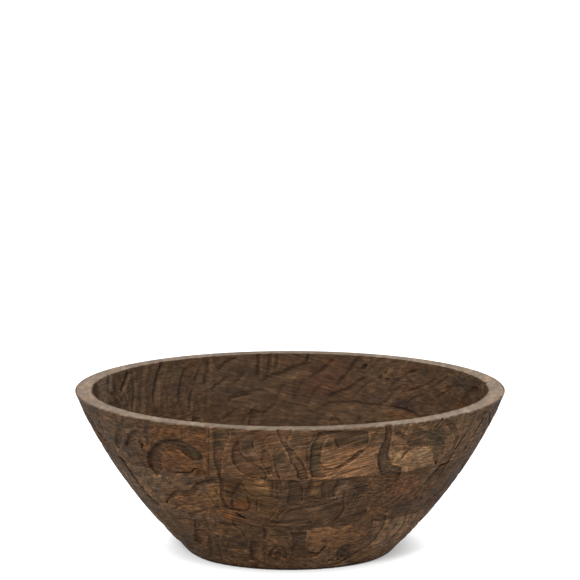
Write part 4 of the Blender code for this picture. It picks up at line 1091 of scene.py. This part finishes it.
def wood(name, grain, offset, tilt):
    """Dark stained mango: its figure runs along the board, creases are darkened by stain and painted shade,
    and ridges wear pale.
    """
    material = bpy.data.materials.new(name)
    material.use_nodes = True
    g = Graph(material)
    place = g.vector("SCALE", g.add("ShaderNodeTexCoord").outputs["Object"], 1 / MM)
    turn = (0.03, tilt, math.pi / 2 if grain == "Y" else 0.0)
    along = g.add("ShaderNodeMapping", {"Vector": place, "Location": (offset, 1.7 * offset, 0.6 * offset),
                                        "Rotation": turn}).outputs[0]

    def stretched(length, width, height=None):
        return g.vector("MULTIPLY", along, (1 / length, 1 / width, 1 / (height or width)))

    warp = g.noise(stretched(70, 22), detail=3)
    rings_at = g.vector("ADD", stretched(160, 9, 3.4), g.vector("SCALE", g.add(
        "ShaderNodeCombineXYZ", {"Y": warp, "Z": warp}).outputs[0], 5.0))
    rings = g.noise(rings_at, detail=2, roughness=0.55)
    streaks = g.noise(stretched(26, 5.0, 1.6), detail=3, roughness=0.6)
    lines = g.noise(stretched(14, 4.5, 0.85), detail=1, roughness=0.5)
    fibres = g.noise(stretched(9, 0.42), detail=2, roughness=0.6)
    pores = g.ramp(g.noise(stretched(5.0, 0.5), detail=1), 0.66, 0.74)
    mottle = g.noise(stretched(30, 8), detail=3, roughness=0.6)

    stain = g.add("ShaderNodeAttribute", attribute_name="stain").outputs["Color"]
    marks = g.add("ShaderNodeAttribute", attribute_name="marks")
    mark = g.add("ShaderNodeSeparateColor", {"Color": marks.outputs["Color"]}).outputs
    crease_stain_and_shade, worn, sanded = mark["Red"], mark["Green"], mark["Blue"]
    calm = marks.outputs["Alpha"]

    # fine level ribs left on the calm islands of old surface
    height = g.add("ShaderNodeSeparateXYZ", {"Vector": place}).outputs["Z"]
    wobble = g.noise(g.vector("MULTIPLY", place, (0.09, 0.09, 0.25)), detail=2)
    wavy = g.math("ADD", height, g.math("MULTIPLY", wobble, 5.0))
    ribs = g.math("MULTIPLY", g.math("SINE", g.math("MULTIPLY", wavy, math.tau / RIB_PITCH)), calm)

    def swing(value, amount):
        """A factor about 1 that follows a noise, which mostly stays within 0.35 to 0.65."""
        return g.math("MULTIPLY_ADD", value, 5 * amount, 1 - 2.5 * amount)

    tone = g.math("MULTIPLY", swing(rings, 0.26), swing(streaks, 0.34))
    for figure, amount in ((lines, 0.42), (fibres, 0.36), (mottle, 0.22)):
        tone = g.math("MULTIPLY", tone, swing(figure, amount))
    for feature, gain in ((ribs, 0.12), (pores, -0.30), (worn, 0.32)):
        tone = g.math("MULTIPLY", tone, g.math("MULTIPLY_ADD", feature, gain, 1.0))
    kept = g.math("MULTIPLY_ADD", sanded, -0.65, 1.0)
    tone = g.math("MULTIPLY_ADD", g.math("SUBTRACT", tone, 1.0), kept, 1.0)
    colour = g.vector("SCALE", stain, tone)
    # the creases darken towards near-black: stain held in the cuts, with painted shade
    dark = g.add("ShaderNodeMix", {"Factor": g.ramp(crease_stain_and_shade, 0.05, 0.85, 0.0, 0.88), 6: colour,
                                   7: (*linear(CREASE_STAIN_AND_SHADE_COLOUR), 1.0)}, data_type="RGBA")
    hue = g.vector("MULTIPLY", dark.outputs[2], g.add("ShaderNodeMix", {
        "Factor": g.ramp(mottle, 0.35, 0.7), 6: (0.97, 1.0, 1.04, 1), 7: (1.06, 1.0, 0.93, 1)},
        data_type="RGBA").outputs[2])

    relief = g.math("MULTIPLY", fibres, 0.5)
    for feature, share in ((streaks, 0.6), (lines, 0.8), (ribs, 0.35), (pores, -0.7)):
        relief = g.math("ADD", relief, g.math("MULTIPLY", feature, share))
    bump = g.add("ShaderNodeBump", {"Height": relief, "Strength": 0.75, "Distance": 0.00022})
    rough = g.math("ADD", g.math("MULTIPLY_ADD", streaks, 0.18, 0.50), g.math("MULTIPLY", crease_stain_and_shade, 0.12))
    shader = g.add("ShaderNodeBsdfPrincipled", {
        "Base Color": hue, "Roughness": rough, "Normal": bump.outputs[0], "IOR": 1.09,
        "Specular IOR Level": 0.5, "Specular Tint": (0.85, 0.68, 0.55, 1)})
    out = g.add("ShaderNodeOutputMaterial")
    g.set(out.inputs["Surface"], shader.outputs[0])
    return material


solids = {2: solid_of(ring_skin(2), True), 1: solid_of(ring_skin(1), True), 0: solid_of(base_skin(), False)}
for number, (name, board) in enumerate(BOARDS.items()):
    piece = board_piece(name, board, solids[board.layer])
    offset, tilt = 37.0 * number + 11, 0.25 * math.sin(2.1 * number)      # no two boards show the same figure
    piece.data.materials.append(wood(name + "_stain", board.grain, offset, tilt))
    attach(piece, "root")
    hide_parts(name)

# ---------------------------------------------------------------- floor, light and camera
LAMP_AIM = (0, 0, 0.06)
CAMERA_AT = (0.0, -2.3978, 0.5668)      # metres, as fitted to the photo
CAMERA_TILT = 81.153                    # degrees up from straight down
CAMERA_LENS = 203.3                     # mm, on a 36 mm sensor

floor_mesh = bpy.data.meshes.new("floor")
floor_mesh.from_pydata([(-20, -20, 0), (20, -20, 0), (20, 20, 0), (-20, 20, 0)], [], [(0, 1, 2, 3)])
floor = bpy.data.objects.new("floor", floor_mesh)
floor.location.z = -0.0002
bpy.context.scene.collection.objects.link(floor)
floor_paint = bpy.data.materials.new("floor_paint")
floor_paint.use_nodes = True
paint = floor_paint.node_tree.nodes["Principled BSDF"]
# a light table, so that the sweep stays white; its glow is dimmed near the foot as a painted contact shadow
for key, value in (("Base Color", (0.4, 0.4, 0.4, 1)), ("Roughness", 0.9), ("Specular IOR Level", 0.0),
                   ("Emission Color", (1, 1, 1, 1))):
    paint.inputs[key].default_value = value
painted_contact_shadow = floor_paint.node_tree.nodes.new("ShaderNodeAmbientOcclusion")
painted_contact_shadow.inputs["Distance"].default_value = 0.022
painted_contact_shadow.samples = 8
glow = floor_paint.node_tree.nodes.new("ShaderNodeMapRange")
glow.inputs["From Min"].default_value, glow.inputs["From Max"].default_value = 0.05, 0.8
glow.inputs["To Min"].default_value, glow.inputs["To Max"].default_value = 0.2, 0.9
floor_paint.node_tree.links.new(painted_contact_shadow.outputs["AO"], glow.inputs["Value"])
floor_paint.node_tree.links.new(glow.outputs["Result"], paint.inputs["Emission Strength"])
floor_mesh.materials.append(floor_paint)

world = bpy.data.worlds.new("studio")
bpy.context.scene.world = world
world.use_nodes = True
backdrop = world.node_tree.nodes["Background"]
backdrop.inputs["Color"].default_value = (1.0, 1.0, 1.0, 1)
rays = world.node_tree.nodes.new("ShaderNodeLightPath")
seen = world.node_tree.nodes.new("ShaderNodeMapRange")      # as white as the floor where it is seen itself
seen.inputs["To Min"].default_value, seen.inputs["To Max"].default_value = 0.35, 1.1
world.node_tree.links.new(rays.outputs["Is Camera Ray"], seen.inputs["Value"])
world.node_tree.links.new(seen.outputs["Result"], backdrop.inputs["Strength"])


def softbox(name, where, size, power):
    light = bpy.data.lights.new(name, "AREA")
    light.shape, light.size, light.energy = "DISK", size, power
    lamp = bpy.data.objects.new(name, light)
    lamp.location = where
    lamp.rotation_euler = (Vector(LAMP_AIM) - Vector(where)).to_track_quat("-Z", "Y").to_euler()
    bpy.context.scene.collection.objects.link(lamp)


softbox("key_light", (-0.9, -2.4, 1.5), 0.8, 120)
softbox("fill_light", (1.9, -1.7, 1.1), 1.4, 40)
softbox("top_light", (-0.2, 0.2, 2.6), 1.6, 50)

camera_data = bpy.data.cameras.new("camera")
camera_data.sensor_width, camera_data.lens = 36.0, CAMERA_LENS
camera = bpy.data.objects.new("camera", camera_data)
camera.location = CAMERA_AT
camera.rotation_euler = (math.radians(CAMERA_TILT), 0, 0)
bpy.context.scene.collection.objects.link(camera)
bpy.context.scene.camera = camera
bpy.context.scene.view_settings.view_transform = "Standard"
